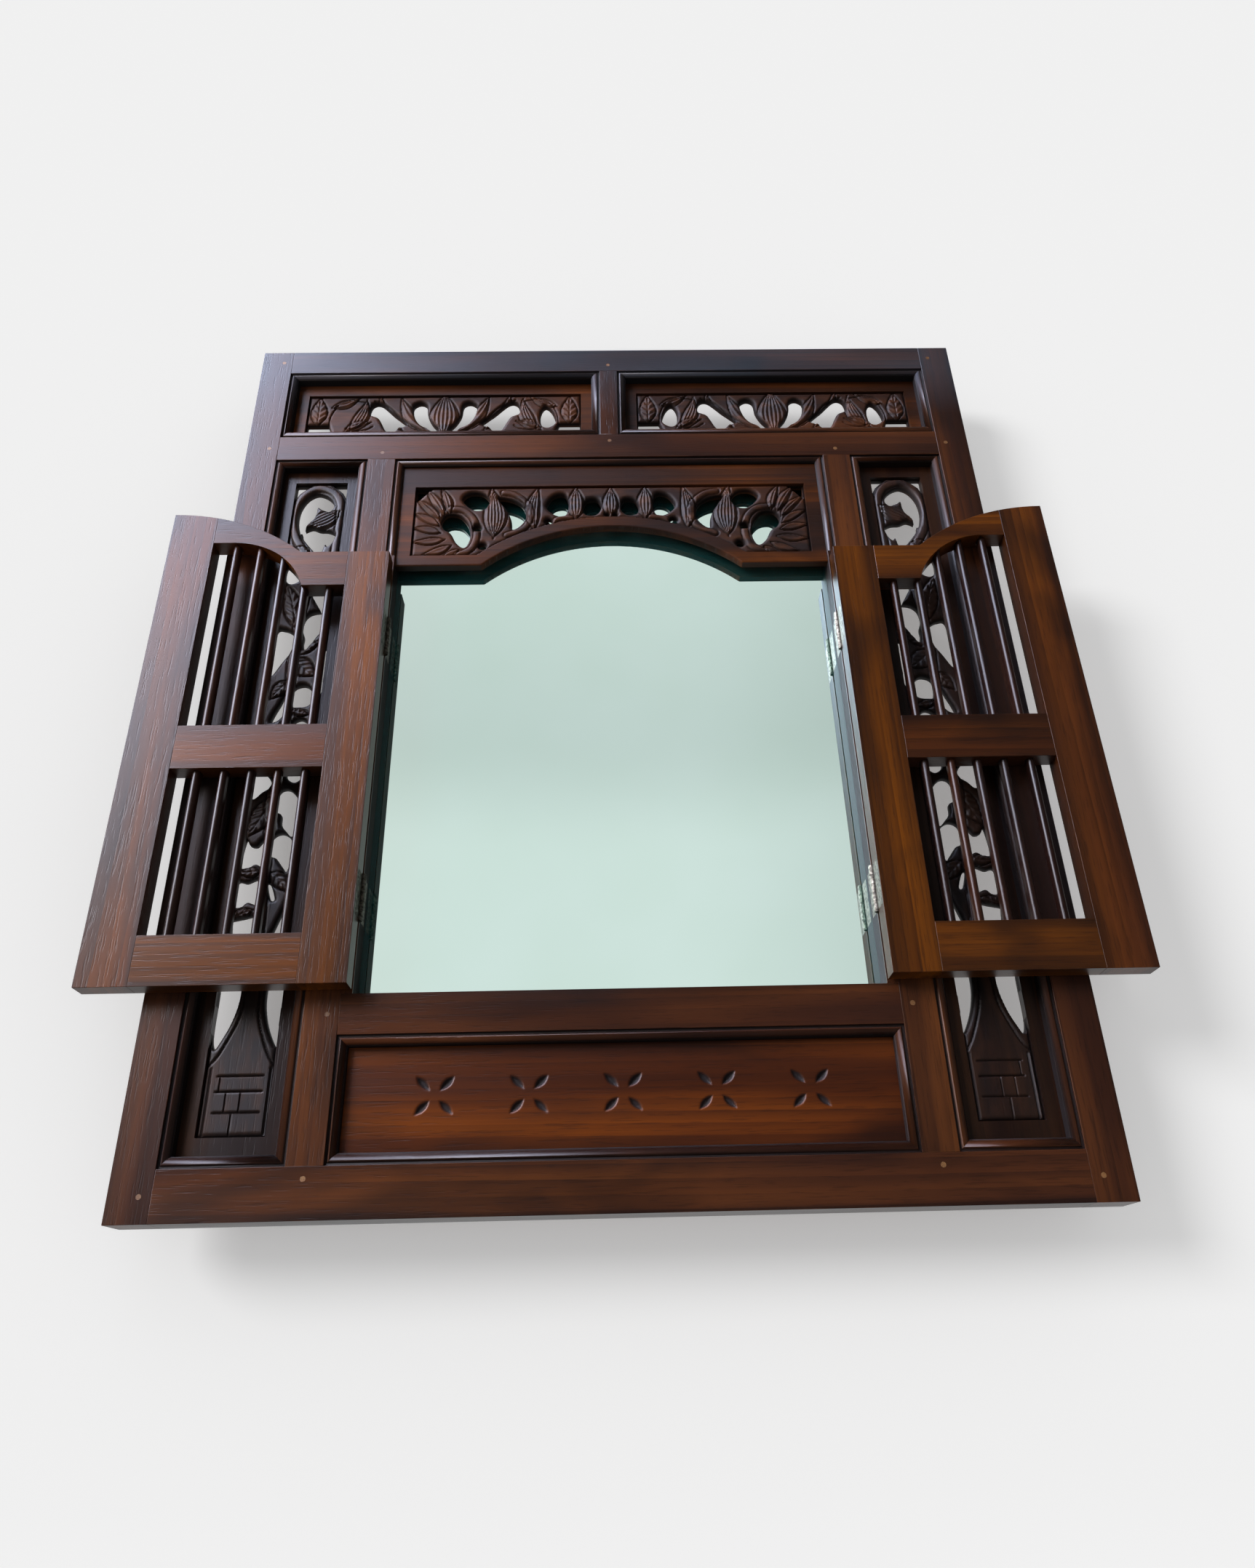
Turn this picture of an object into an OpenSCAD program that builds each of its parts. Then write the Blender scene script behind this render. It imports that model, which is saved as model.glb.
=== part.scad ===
// Wall mirror built like a carved window: a framed and panelled surround with
// pierced panels, a mirror behind an arched spandrel, and two barred shutters.
// +Z is up, the front faces -Y and the back of the frame lies on the plane Y = 0.
// The origin is the middle of the two hanging holes, on the back of the frame.
// Below, heights are measured from the bottom of the frame and widths from its middle.

/* [Frame] */
// Width of the frame
frame_w = 750; // [740:1:770]
// Height of the frame
frame_h = 900; // [890:1:910]
// Thickness of the frame
frame_t = 30; // [30:0.5:34]
// Width of the flat front of the outer stiles, the top rail and the second rail
member_w = 32; // [30:1:34]
// Width of the flat front of the bottom rail
bottom_rail_w = 38; // [36:1:40]
// Width of the flat front of the inner stiles
inner_stile_w = 28; // [26:1:30]
// Width of the flat front of the muntin between the two top panels
muntin_w = 19; // [17:1:22]
// Width of the bead worked round each panel opening, with its sunk line
bead_w = 9; // [8.5:0.5:9.5]
// Height of the second rail's lower edge above the bottom of the frame
second_rail_z = 741; // [738:1:744]
// Height of the sill rail's lower edge above the bottom of the frame
sill_z = 136; // [134:1:138]
// Width of the front of the sill rail
sill_w = 33; // [32:1:35]

/* [Mirror and panels] */
// Width of the opening that shows the mirror
mirror_open_w = 424; // [420:1:428]
// Depth of the mirror glass behind the front of the frame
mirror_recess = 19; // [19:0.5:20]
// Thickness of the mirror glass
glass_t = 4; // [3:0.5:4]
// Thickness of the panel boards
board_t = 8; // [7:0.5:8]
// Depth of the pierced side and top panels behind the front of the frame
fret_recess = 10; // [9:0.5:11]
// Depth of the spandrel board behind the front of the frame
spandrel_recess = 4; // [4:0.5:5]
// Height of the spandrel's lower edge at the sides
spandrel_z = 603; // [600:1:606]
// Width of the arch in the spandrel
arch_w = 256; // [250:1:262]
// Rise of the arch in the spandrel
arch_rise = 48; // [46:1:50]

/* [Shutters] */
// Thickness of the shutters
shutter_t = 17; // [16:0.5:17]
// Width of the hinge stiles
hinge_stile_w = 39; // [38:1:42]
// Width of the meeting stiles
meeting_stile_w = 42; // [38:1:44]
// Width of the shutters' bottom rails
shutter_bottom_w = 42; // [40:1:44]
// Width of the shutters' middle rails
shutter_mid_w = 43; // [41:1:45]
// Height of the middle rails' lower edge above the bottom of the frame
shutter_mid_z = 364; // [360:1:368]
// Width of each bar
bar_w = 6.5; // [6:0.5:7]
// Number of bars in each light
bar_count = 5; // [4:1:5]

/* [Hinges] */
// Height of each hinge
hinge_h = 39; // [37:1:41]
// Radius of the hinge pins
pin_r = 1.5; // [1.4:0.1:1.6]
// Height of the lower hinges' middle above the bottom of the frame
lower_hinge_z = 250; // [245:1:255]
// Height of the upper hinges' middle above the bottom of the frame
upper_hinge_z = 514; // [510:1:520]

/* [Hanging] */
// Distance between the two hanging holes
hang_spacing = 710; // [706:1:714]
// Height of the hanging holes above the bottom of the frame
hang_z = 820; // [815:1:825]
// Radius of the round part of each hanging hole
hang_hole_r = 4.5; // [4:0.5:5]

/* [Hidden] */
$fn = 48;
half_w = frame_w / 2;
stile_x = half_w - member_w;              // flat inner edge of the outer stiles
mirror_x = mirror_open_w / 2;             // edge of the mirror opening
inner_x = mirror_x + bead_w;              // flat edge of the inner stiles towards the mirror
outer_x = inner_x + inner_stile_w;        // flat edge of the inner stiles towards the side panels
muntin_x = muntin_w / 2;
top_rail_z = frame_h - member_w;
second_top_z = second_rail_z + member_w;
sill_top_z = sill_z + sill_w;
front_y = -frame_t;

quirk_w = 1.5;                            // sunk line beside each bead
quirk_d = 2;
bead_r = (bead_w - quirk_w) / 2;
groove_lip = 3;                           // wood beside each panel groove
groove_gap = 0.2;
board_inset = 3.5;                        // from a member's flat edge to the board's own edge
bottom_recess = 7;                        // depth of the bottom panel behind the front
field_sink = 2;                           // depth of each carved field below its border
bead_end_z = spandrel_z + 10;             // where the bead beside the spandrel stops

glass_y = front_y + mirror_recess;        // front of the glass
glass_lap = 8;                            // glass behind the wood
glass_gap = 1;
backing_t = 4;
packing_t = -backing_t - glass_y - glass_t;
backing_lap = 11;                         // backing board beyond the glass rebate
backing_gap = 0.5;
rebate_x = mirror_x + glass_lap + glass_gap;
rebate_low = sill_top_z - glass_lap - glass_gap;
rebate_top = second_rail_z;

tenon_t = 10;
tenon_y = front_y + 10;
tenon_l = 18;
tenon_step = 5;                           // shoulder at each side of a tenon
tenon_gap = 0.1;
peg_r = 2;
peg_l = 24;
peg_in = tenon_l / 2;

arch_r = (pow(arch_w / 2, 2) + pow(arch_rise, 2)) / (2 * arch_rise);
arch_z = spandrel_z + arch_rise - arch_r; // centre of the arch
shutter_gap = 3;                          // between the shutters and the spandrel
edge_gap = 1;                             // between each shutter and its stile
meet_gap = 1.5;                           // between the two shutters when shut
shutter_y = front_y + shutter_t;          // inside face of a shut shutter
shutter_low = sill_top_z + 2;
shutter_top = spandrel_z - shutter_gap;
hinge_edge = mirror_x - edge_gap;         // hinge edge of a shut shutter, from the middle
meet_edge = meet_gap / 2;
light_x0 = hinge_edge - hinge_stile_w;    // edges of the lights, from the middle
light_x1 = meet_edge + meeting_stile_w;
light_low = shutter_low + shutter_bottom_w;
light_mid = shutter_mid_z + shutter_mid_w;
light_top = shutter_top - 40;
light_crown = light_top + 52;
light_arc_x = light_x1 + 20;              // where the arched light turns level, from the middle
light_arc_w = 69;
light_arc_r = (pow(light_arc_w, 2) + pow(light_crown - light_top, 2)) / (2 * (light_crown - light_top));
bar_d = 10;
bar_x0 = light_x0 - 16;
bar_pitch = (bar_x0 - light_x1 - 21) / (bar_count - 1);
bar_in = 5;                               // length of each bar end in its rail
stub_t = 6;                               // tenons of the shutters' rails
stub_l = 14;

pin_x = mirror_x - edge_gap / 2;          // axis of the hinge pins
pin_y = front_y - 2;
pin_gap = 0.06;
pin_head_r = 2.2;
pin_head_h = 1.2;
knuckle_r = 2.6;
knuckle_count = 5;
knuckle_h = hinge_h / knuckle_count;
knuckle_gap = 0.2;
knuckle_room = 0.3;
leaf_t = 1.2;
leaf_end_y = shutter_y - 2;
leaf_screw_pitch = 13;
screw_r = 1.2;
screw_head_r = 2.4;
screw_head_h = 1.2;
screw_l = 11;
slot_d = 0.5;                             // driver slot in each screw head
screw_gap = 0.05;

hang_x = hang_spacing / 2;
hang_plate_w = 20;
hang_plate_low = 20;                      // reach of a hanger plate below and above its hole
hang_plate_high = 32;
hang_plate_t = 2;
hang_corner_r = 3;
hang_pocket_d = 9;
hang_pocket_r = 6;
slot_r = 2.3;
slot_l = 12;
hang_screw_low = 13;
hang_screw_high = 24;

// Carved fields: half widths, heights and middles
side_cx = (stile_x + outer_x) / 2;
side_field_x = 26;
side_field_low = 62;
side_field_top = second_rail_z - 23;
top_cx = (stile_x + muntin_x) / 2;
top_field_x = 146;
top_field_low = second_top_z + 16;
top_field_top = top_rail_z - 24;
span_field_x = mirror_x - 14;
span_field_top = second_rail_z - 36;
span_band = 13;                           // plain band above the arch
motif_count = 5;
motif_pitch = 72;
motif_z = 89;
petal_start = 5;                          // from a motif's middle to its petals
petal_l = 16;
petal_w = 6.5;
petal_d = 2;

wood = "#5a2c1c";
wood_light = "#7a4326";
metal = "#a39a78";

// ---- general shapes ----

// Box between two corners
module block(x0, x1, y0, y1, z0, z1) {
  translate([x0, y0, z0]) cube([x1 - x0, y1 - y0, z1 - z0]);
}

// Outline in the X-Z plane, made solid from the depth y0 to y1
module plate(y0, y1) {
  translate([0, y1, 0]) rotate([90, 0, 0]) linear_extrude(y1 - y0) children();
}

// Rectangle between two corners
module patch(x0, x1, z0, z1) {
  translate([x0, z0]) square([x1 - x0, z1 - z0]);
}

// Draws its children, made for the left, on the left for side = -1 and on the right for side = 1
module on_side(side) {
  if (side < 0) children();
  else mirror([1, 0, 0]) children();
}

// Moves the finished part so that its origin lies between the hanging holes
module hung() {
  translate([0, 0, -hang_z]) children();
}

// Point on the curve through b and c, at t between them, with a and d as their neighbours
function curve_point(a, b, c, d, t) =
  0.5 * (2 * b + (c - a) * t + (2 * a - 5 * b + 4 * c - d) * t * t
  + (3 * b - a - 3 * c + d) * t * t * t);

// Closed smooth curve through points, with a few steps from each to the next
function smooth(p, steps = 3) = let (n = len(p)) [
  for (i = [0 : n - 1]) for (j = [0 : steps - 1])
    curve_point(p[(i + n - 1) % n], p[i], p[(i + 1) % n], p[(i + 2) % n], j / steps)
];

// Countersunk wood screw along +Z, its head's face at 0, with room round it for a hole
module screw(room = 0) {
  cylinder(r1 = screw_head_r + room, r2 = screw_r + room, h = screw_head_h);
  cylinder(r = screw_r + room, h = screw_l + room);
}

module slotted_screw() {
  difference() {
    screw();
    translate([-screw_head_r, -screw_r / 4, 0]) cube([2 * screw_head_r, screw_r / 2, slot_d]);
  }
}

// ---- beaded edges of the openings ----

// Section of a beaded edge: first the depth, then the distance into the opening
module edge_section(recess) {
  difference() {
    union() {
      translate([front_y + quirk_d, 0]) square([frame_t - quirk_d, bead_w]);
      translate([front_y + bead_r, quirk_w]) square([bead_r, 2 * bead_r]);
      translate([front_y + bead_r, quirk_w + bead_r]) circle(bead_r);
    }
    translate([front_y + recess, groove_lip]) square([board_t + groove_gap, bead_w]);
  }
}

// Beaded edge along X from 0 to l, growing up, mitred at its ends
module edge_strip(l, recess, start_mitre) {
  intersection() {
    rotate([90, 0, 90]) linear_extrude(l) edge_section(recess);
    plate(front_y - 1, 1) polygon([[0, 0], [l, 0], [l - bead_w, bead_w], [start_mitre ? bead_w : 0, bead_w]]);
  }
}

// Edge on a rail, from x0 to x1 at the height z, growing up for dir = 1 and down for dir = -1
module rail_edge(x0, x1, z, dir, recess) {
  translate([x0, 0, z]) mirror([0, 0, dir < 0 ? 1 : 0]) edge_strip(x1 - x0, recess, true);
}

// Edge on a stile, from z0 to z1 at x, growing to the right for dir = 1 and to the left for dir = -1
module stile_edge(x, z0, z1, dir, recess, start_mitre = true) {
  translate([x, 0, z0]) mirror([dir < 0 ? 1 : 0, 0, 0]) mirror([1, 0, -1])
    edge_strip(z1 - z0, recess, start_mitre);
}

// ---- joints of the frame ----

// Tenons on both ends of a rail that reaches from -x to x, or with room their mortises
module end_tenons(x, z0, z1, room = 0) {
  for (side = [-1, 1])
    on_side(side) block(-x - tenon_l - room, -x + room, tenon_y - room, tenon_y + tenon_t + room,
      z0 + tenon_step - room, z1 - tenon_step + room);
}

// Tenons above and below an upright from x0 to x1, between the heights z0 and z1
module upright_tenons(x0, x1, z0, z1, room = 0) {
  for (z = [z0 - tenon_l - room, z1 - room])
    block(x0 - room, x1 + room, tenon_y - room, tenon_y + tenon_t + room, z, z + tenon_l + 2 * room);
}

module inner_stile_tenons(room = 0) {
  for (side = [-1, 1])
    on_side(side) upright_tenons(-outer_x + tenon_step, -inner_x - tenon_step, bottom_rail_w, second_rail_z, room);
}

module muntin_tenons(room = 0) {
  upright_tenons(-muntin_x + tenon_step / 2, muntin_x - tenon_step / 2, second_top_z, top_rail_z, room);
}

module pegs(room = 0) {
  outer_z = [top_rail_z + member_w / 2, second_rail_z + member_w / 2, bottom_rail_w / 2];
  inner_z = [second_rail_z + peg_in, bottom_rail_w - peg_in];
  for (side = [-1, 1]) {
    for (z = outer_z) peg(side * (stile_x + peg_in), z, room);
    for (z = inner_z) peg(side * (inner_x + inner_stile_w / 2), z, room);
    peg(side * (inner_x + peg_in), sill_z + sill_w / 2, room);
  }
  for (z = [top_rail_z + peg_in, second_top_z - peg_in]) peg(0, z, room);
}

module peg(x, z, room) {
  translate([x, front_y, z]) rotate([-90, 0, 0]) cylinder(r = peg_r + room, h = peg_l + room);
}

// ---- rebates behind the mirror opening ----

module mirror_rebates() {
  block(-rebate_x, rebate_x, glass_y, 1, rebate_low, rebate_top);
  block(-rebate_x - backing_lap, rebate_x + backing_lap, -backing_t, 1,
    rebate_low - backing_lap, rebate_top + backing_lap);
}

module backing_screw_places() {
  side_x = rebate_x + backing_lap / 2;
  for (x = [-side_x, side_x], z = [240, 450, 660]) translate([x, 0, z]) rotate([90, 0, 0]) children();
  for (x = [-110, 110], z = [rebate_low - backing_lap / 2, rebate_top + backing_lap / 2])
    translate([x, 0, z]) rotate([90, 0, 0]) children();
}

// ---- stiles, rails and muntin of the frame ----

module outer_stile(side) {
  color(wood) hung() on_side(side) difference() {
    union() {
      block(-half_w, -stile_x, front_y, 0, 0, frame_h);
      stile_edge(-stile_x, bottom_rail_w, second_rail_z, 1, fret_recess);
      stile_edge(-stile_x, second_top_z, top_rail_z, 1, fret_recess);
    }
    end_tenons(stile_x, top_rail_z, frame_h, tenon_gap);
    end_tenons(stile_x, second_rail_z, second_top_z, tenon_gap);
    end_tenons(stile_x, 0, bottom_rail_w, tenon_gap);
    pegs(screw_gap);
    hanger_pocket();
    hanger_screw_places() screw(screw_gap);
  }
}

module top_rail() {
  color(wood) hung() difference() {
    union() {
      block(-stile_x, stile_x, front_y, 0, top_rail_z, frame_h);
      end_tenons(stile_x, top_rail_z, frame_h);
      for (side = [-1, 1])
        on_side(side) rail_edge(-stile_x, -muntin_x, top_rail_z, -1, fret_recess);
    }
    muntin_tenons(tenon_gap);
    pegs(screw_gap);
  }
}

module second_rail() {
  color(wood) hung() difference() {
    union() {
      block(-stile_x, stile_x, front_y, 0, second_rail_z, second_top_z);
      end_tenons(stile_x, second_rail_z, second_top_z);
      rail_edge(-inner_x, inner_x, second_rail_z, -1, spandrel_recess);
      for (side = [-1, 1]) on_side(side) {
        rail_edge(-stile_x, -muntin_x, second_top_z, 1, fret_recess);
        rail_edge(-stile_x, -outer_x, second_rail_z, -1, fret_recess);
      }
    }
    muntin_tenons(tenon_gap);
    inner_stile_tenons(tenon_gap);
    mirror_rebates();
    backing_screw_places() screw(screw_gap);
    pegs(screw_gap);
  }
}

module bottom_rail() {
  color(wood) hung() difference() {
    union() {
      block(-stile_x, stile_x, front_y, 0, 0, bottom_rail_w);
      end_tenons(stile_x, 0, bottom_rail_w);
      rail_edge(-inner_x, inner_x, bottom_rail_w, 1, bottom_recess);
      for (side = [-1, 1])
        on_side(side) rail_edge(-stile_x, -outer_x, bottom_rail_w, 1, fret_recess);
    }
    inner_stile_tenons(tenon_gap);
    pegs(screw_gap);
  }
}

module sill_rail() {
  color(wood) hung() difference() {
    union() {
      block(-inner_x, inner_x, front_y, 0, sill_z, sill_top_z);
      end_tenons(inner_x, sill_z, sill_top_z);
      rail_edge(-inner_x, inner_x, sill_z, -1, bottom_recess);
    }
    mirror_rebates();
    backing_screw_places() screw(screw_gap);
    pegs(screw_gap);
  }
}

module centre_muntin() {
  color(wood) hung() difference() {
    union() {
      block(-muntin_x, muntin_x, front_y, 0, second_top_z, top_rail_z);
      muntin_tenons();
      for (side = [-1, 1])
        on_side(side) stile_edge(-muntin_x, second_top_z, top_rail_z, -1, fret_recess);
    }
    pegs(screw_gap);
  }
}

module inner_stile(side) {
  color(wood_light) hung() on_side(side) difference() {
    union() {
      block(-outer_x, -inner_x, front_y, 0, bottom_rail_w, second_rail_z);
      upright_tenons(-outer_x + tenon_step, -inner_x - tenon_step, bottom_rail_w, second_rail_z);
      stile_edge(-outer_x, bottom_rail_w, second_rail_z, -1, fret_recess);
      stile_edge(-inner_x, bottom_rail_w, sill_z, 1, bottom_recess);
      stile_edge(-inner_x, bead_end_z, second_rail_z, 1, spandrel_recess, false);
      block(-inner_x, -mirror_x, front_y, 0, sill_top_z, bead_end_z);
    }
    block(-inner_x + groove_lip, 0, front_y + spandrel_recess,
      front_y + spandrel_recess + board_t + groove_gap, spandrel_z, bead_end_z);
    end_tenons(inner_x, sill_z, sill_top_z, tenon_gap);
    mirror_rebates();
    backing_screw_places() screw(screw_gap);
    pegs(screw_gap);
    for (z = [lower_hinge_z, upper_hinge_z]) {
      leaf_plate(-mirror_x - leaf_t, z);
      knuckle_notch(z);
      frame_leaf_screw_places(z) screw(screw_gap);
    }
  }
}

module joint_pegs() {
  color(wood_light) hung() pegs();
}

// ---- panels ----

// Holes of a side panel, from its own middle line, with the mirror to the right
module side_holes() {
  polygon([[-26, 717], [-10, 717], [-17, 712], [-23, 706], [-26, 698]]);
  polygon([[10, 717], [26, 717], [26, 699], [22, 707], [17, 712]]);
  polygon(smooth([[-16, 654], [-20, 670], [-19, 687], [-13, 700], [-4, 706], [5, 703], [12, 696],
    [14, 688], [10, 683], [3, 685], [-2, 688], [-3, 679], [-6, 671], [-11, 664], [-12, 657]]));
  polygon(smooth([[-13, 656], [-5, 661], [3, 658], [12, 657], [19, 652], [17, 643], [13, 637], [10, 640],
    [8, 632], [6, 624], [-1, 632], [-8, 641], [-13, 649]]));
  polygon(smooth([[-23, 612], [-13, 614], [-8, 604], [-10, 594], [-18, 590], [-24, 597]]));
  polygon(smooth([[8, 614], [16, 610], [19, 600], [13, 592], [6, 597]]));
  polygon(smooth([[4, 578], [10, 584], [18, 582], [19, 567], [17, 554], [13, 560], [8, 569]]));
  polygon(smooth([[-1, 537], [1, 549], [8, 555], [18, 554], [19, 537], [13, 525], [5, 511], [2, 518], [2, 527]]));
  polygon(smooth([[-25, 531], [-17, 535], [-8, 529], [-7, 517], [-10, 506], [-16, 495], [-23, 482], [-26, 488]]));
  polygon(smooth([[22, 509], [26, 506], [26, 470], [23, 464]]));
  polygon(smooth([[-7, 462], [-11, 451], [-16, 438], [-17, 431], [-10, 434], [-6, 445]]));
  polygon(smooth([[-1, 466], [7, 471], [14, 468], [18, 458], [15, 449], [7, 447], [0, 449]]));
  polygon(smooth([[-22, 420], [-13, 417], [-8, 404], [-13, 390], [-22, 388], [-25, 404]]));
  polygon(smooth([[2, 428], [10, 434], [18, 426], [17, 410], [9, 400], [3, 410]]));
  polygon(smooth([[5, 386], [15, 387], [19, 376], [12, 368], [4, 374]]));
  polygon(smooth([[-25, 378], [-16, 378], [-9, 369], [-10, 363], [-16, 358], [-22, 352], [-26, 357]]));
  polygon(smooth([[-2, 352], [1, 360], [8, 361], [15, 354], [19, 343], [19, 328], [16, 315], [10, 320],
    [5, 327], [4, 336], [-1, 340]]));
  polygon(smooth([[-1, 313], [6, 318], [14, 314], [18, 304], [17, 294], [15, 282], [11, 286], [5, 294], [-1, 298]]));
  polygon(smooth([[-23, 312], [-19, 307], [-13, 306], [-8, 312], [-4, 309], [-5, 288], [-12, 289],
    [-18, 286], [-25, 288]]));
  polygon(smooth([[-25, 272], [-17, 272], [-10, 275], [-4, 274], [-5, 253], [-14, 254], [-19, 250], [-25, 252]]));
  polygon(smooth([[0, 271], [4, 268], [8, 256], [4, 257]]));
  polygon([[-25, 238], [-15, 240], [-4, 243], [-4, 218], [-23, 218]]);
  polygon([[21, 260], [17, 248], [12, 233], [7, 218], [21, 218]]);
  polygon(smooth([[-25, 204], [-10, 206], [-9, 190], [-9, 168], [-13, 150], [-19, 136], [-23, 130],
    [-26, 140], [-26, 170]]));
  polygon(smooth([[12, 206], [25, 204], [26, 170], [26, 140], [25, 131], [20, 139], [15, 152], [12, 168], [12, 190]]));
}

// Holes of one half of a top panel, from the panel's own middle line, with or without the small one
module top_holes(small = true) {
  polygon(smooth([[-34, 830], [-27, 836], [-20, 832], [-18, 818], [-13, 806], [-6, 796], [-8, 792],
    [-17, 797], [-26, 804], [-32, 815]]));
  polygon(smooth([[-80, 820], [-78, 833], [-69, 835], [-54, 819], [-40, 804], [-48, 799], [-56, 791],
    [-62, 796], [-67, 807], [-71, 814]]));
  if (small) polygon(smooth([[-119, 806], [-115, 822], [-108, 829], [-103, 818], [-104, 802], [-111, 798]]));
  polygon([[-145, 803], [-123, 803], [-119, 791], [-145, 791]]);
}

// Holes of the left half of the spandrel
module spandrel_holes() {
  polygon([[-197, 704], [-182, 704], [-189, 697], [-196, 688]]);
  polygon(smooth([[-150, 690], [-143, 699], [-130, 698], [-123, 688], [-128, 678], [-139, 677]]));
  polygon(smooth([[-170, 662], [-164, 671], [-152, 669], [-143, 656], [-141, 640], [-146, 628],
    [-154, 634], [-160, 646], [-167, 652]]));
  polygon(smooth([[-114, 692], [-101, 690], [-89, 681], [-86, 666], [-92, 655], [-99, 651],
    [-100, 662], [-104, 674], [-110, 684]]));
  polygon(smooth([[-65, 680], [-58, 694], [-47, 696], [-43, 684], [-46, 669], [-56, 669]]));
  polygon(smooth([[-28, 678], [-24, 688], [-14, 689], [-10, 679], [-15, 669], [-25, 669]]));
  for (c = [[-63, 660, 4], [-134, 652, 4], [-128, 629, 4], [-4, 668, 2.5]])
    translate([c[0], c[1]]) circle(c[2]);
}

// Board of a panel: a plain border round a sunk field, with holes cut through
module fret_board(x0, x1, z0, z1, fx, fz0, fz1) {
  y = front_y + fret_recess;
  difference() {
    block(x0, x1, y, y + board_t, z0, z1);
    block(-fx, fx, y - 1, y + field_sink, fz0, fz1);
    plate(y - 1, y + board_t + 1) offset(delta = 0) children();
  }
}

module side_fret(side) {
  half = (stile_x - outer_x) / 2 - board_inset;
  color(wood) hung() on_side(side) translate([-side_cx, 0, 0])
    fret_board(-half, half, bottom_rail_w + board_inset, second_rail_z - board_inset,
      side_field_x, side_field_low, side_field_top)
      side_holes();
}

module top_fret(side) {
  half = (stile_x - muntin_x) / 2 - board_inset;
  color(wood) hung() on_side(side) translate([-top_cx, 0, 0])
    fret_board(-half, half, second_top_z + board_inset, top_rail_z - board_inset,
      top_field_x, top_field_low, top_field_top) {
      top_holes(small = side > 0);
      mirror([1, 0]) top_holes();
    }
}

// Region above the arch and above the level parts beside it, raised by a band's width
module above_arch(band) {
  difference() {
    patch(-half_w, half_w, spandrel_z + band, second_rail_z);
    translate([0, arch_z]) circle(r = arch_r + band, $fn = 180);
  }
}

module spandrel_panel() {
  y = front_y + spandrel_recess;
  half = inner_x - board_inset;
  color(wood) hung() difference() {
    plate(y, y + board_t) intersection() {
      above_arch(0);
      patch(-half, half, spandrel_z, second_rail_z - board_inset);
    }
    plate(y - 1, y + field_sink) intersection() {
      above_arch(span_band);
      patch(-span_field_x, span_field_x, spandrel_z, span_field_top);
    }
    plate(y - 1, y + board_t + 1) offset(delta = 0) {
      spandrel_holes();
      mirror([1, 0]) spandrel_holes();
    }
  }
}

// Petal pointing along +X from the origin
module petal() {
  r = (pow(petal_l, 2) + pow(petal_w, 2)) / (4 * petal_w);
  translate([petal_l / 2, 0]) intersection() {
    translate([0, r - petal_w / 2]) circle(r);
    translate([0, petal_w / 2 - r]) circle(r);
  }
}

module bottom_panel() {
  y = front_y + bottom_recess;
  half = inner_x - board_inset;
  color(wood) hung() difference() {
    block(-half, half, y, y + board_t, bottom_rail_w + board_inset, sill_z - board_inset);
    for (i = [0 : motif_count - 1], a = [45 : 90 : 315])
      plate(y - 1, y + petal_d) translate([(i - (motif_count - 1) / 2) * motif_pitch, motif_z])
        rotate(a) translate([petal_start, 0]) petal();
  }
}

// ---- mirror and what holds it ----

module mirror_sheet(y0, y1) {
  hung() block(-rebate_x + glass_gap, rebate_x - glass_gap, y0, y1, rebate_low + glass_gap, rebate_top - glass_gap);
}

module mirror_glass() {
  color("#c9e2d5") mirror_sheet(glass_y, glass_y + glass_t);
}

module packing_sheet() {
  color("#b7a98c") mirror_sheet(glass_y + glass_t, glass_y + glass_t + packing_t);
}

module backing_board() {
  x = rebate_x + backing_lap - backing_gap;
  color("#8a6a48") hung() difference() {
    block(-x, x, -backing_t, 0, rebate_low - backing_lap + backing_gap, rebate_top + backing_lap - backing_gap);
    backing_screw_places() screw(screw_gap);
  }
}

module backing_screws() {
  color(metal) hung() backing_screw_places() slotted_screw();
}

// ---- hangers ----

// Round hole with a narrower slot above it
module keyhole(r_low, r_high, y0, y1) {
  for (hole = [[r_low, 0], [r_high, slot_l]])
    translate([-hang_x, y1, hang_z + hole[1]]) rotate([90, 0, 0]) cylinder(r = hole[0], h = y1 - y0);
  block(-hang_x - r_high, -hang_x + r_high, y0, y1, hang_z, hang_z + slot_l);
}

// Plate with round corners on the back of the left stile
module hanger_blank(y1) {
  w = hang_plate_w / 2;
  r = hang_corner_r;
  z0 = hang_z - hang_plate_low;
  z1 = hang_z + hang_plate_high;
  block(-hang_x - w + r, -hang_x + w - r, -hang_plate_t, y1, z0, z1);
  block(-hang_x - w, -hang_x + w, -hang_plate_t, y1, z0 + r, z1 - r);
  for (x = [-w + r, w - r], z = [z0 + r, z1 - r])
    translate([-hang_x + x, y1, z]) rotate([90, 0, 0]) cylinder(r = r, h = y1 + hang_plate_t);
}

module hanger_pocket() {
  hanger_blank(1);
  keyhole(hang_pocket_r, hang_pocket_r, -hang_plate_t - hang_pocket_d, 0);
}

module hanger_screw_places() {
  for (z = [-hang_screw_low, hang_screw_high])
    translate([-hang_x, 0, hang_z + z]) rotate([90, 0, 0]) children();
}

module hanger_plate(side) {
  color(metal) hung() on_side(side) difference() {
    hanger_blank(0);
    keyhole(hang_hole_r, slot_r, -hang_plate_t - 1, 1);
    hanger_screw_places() screw(screw_gap);
  }
}

module hanger_screws() {
  color(metal) hung() for (side = [-1, 1]) on_side(side) hanger_screw_places() slotted_screw();
}

// ---- hinges ----

// Knuckles of a hinge by number from the bottom, each with room at its ends
module knuckles(z, numbers, r, room) {
  for (n = numbers)
    translate([-pin_x, pin_y, z - hinge_h / 2 + n * knuckle_h - room])
      cylinder(r = r, h = knuckle_h + 2 * room);
}

module leaf_plate(x, z) {
  block(x, x + leaf_t, pin_y, leaf_end_y, z - hinge_h / 2, z + hinge_h / 2);
}

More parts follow.
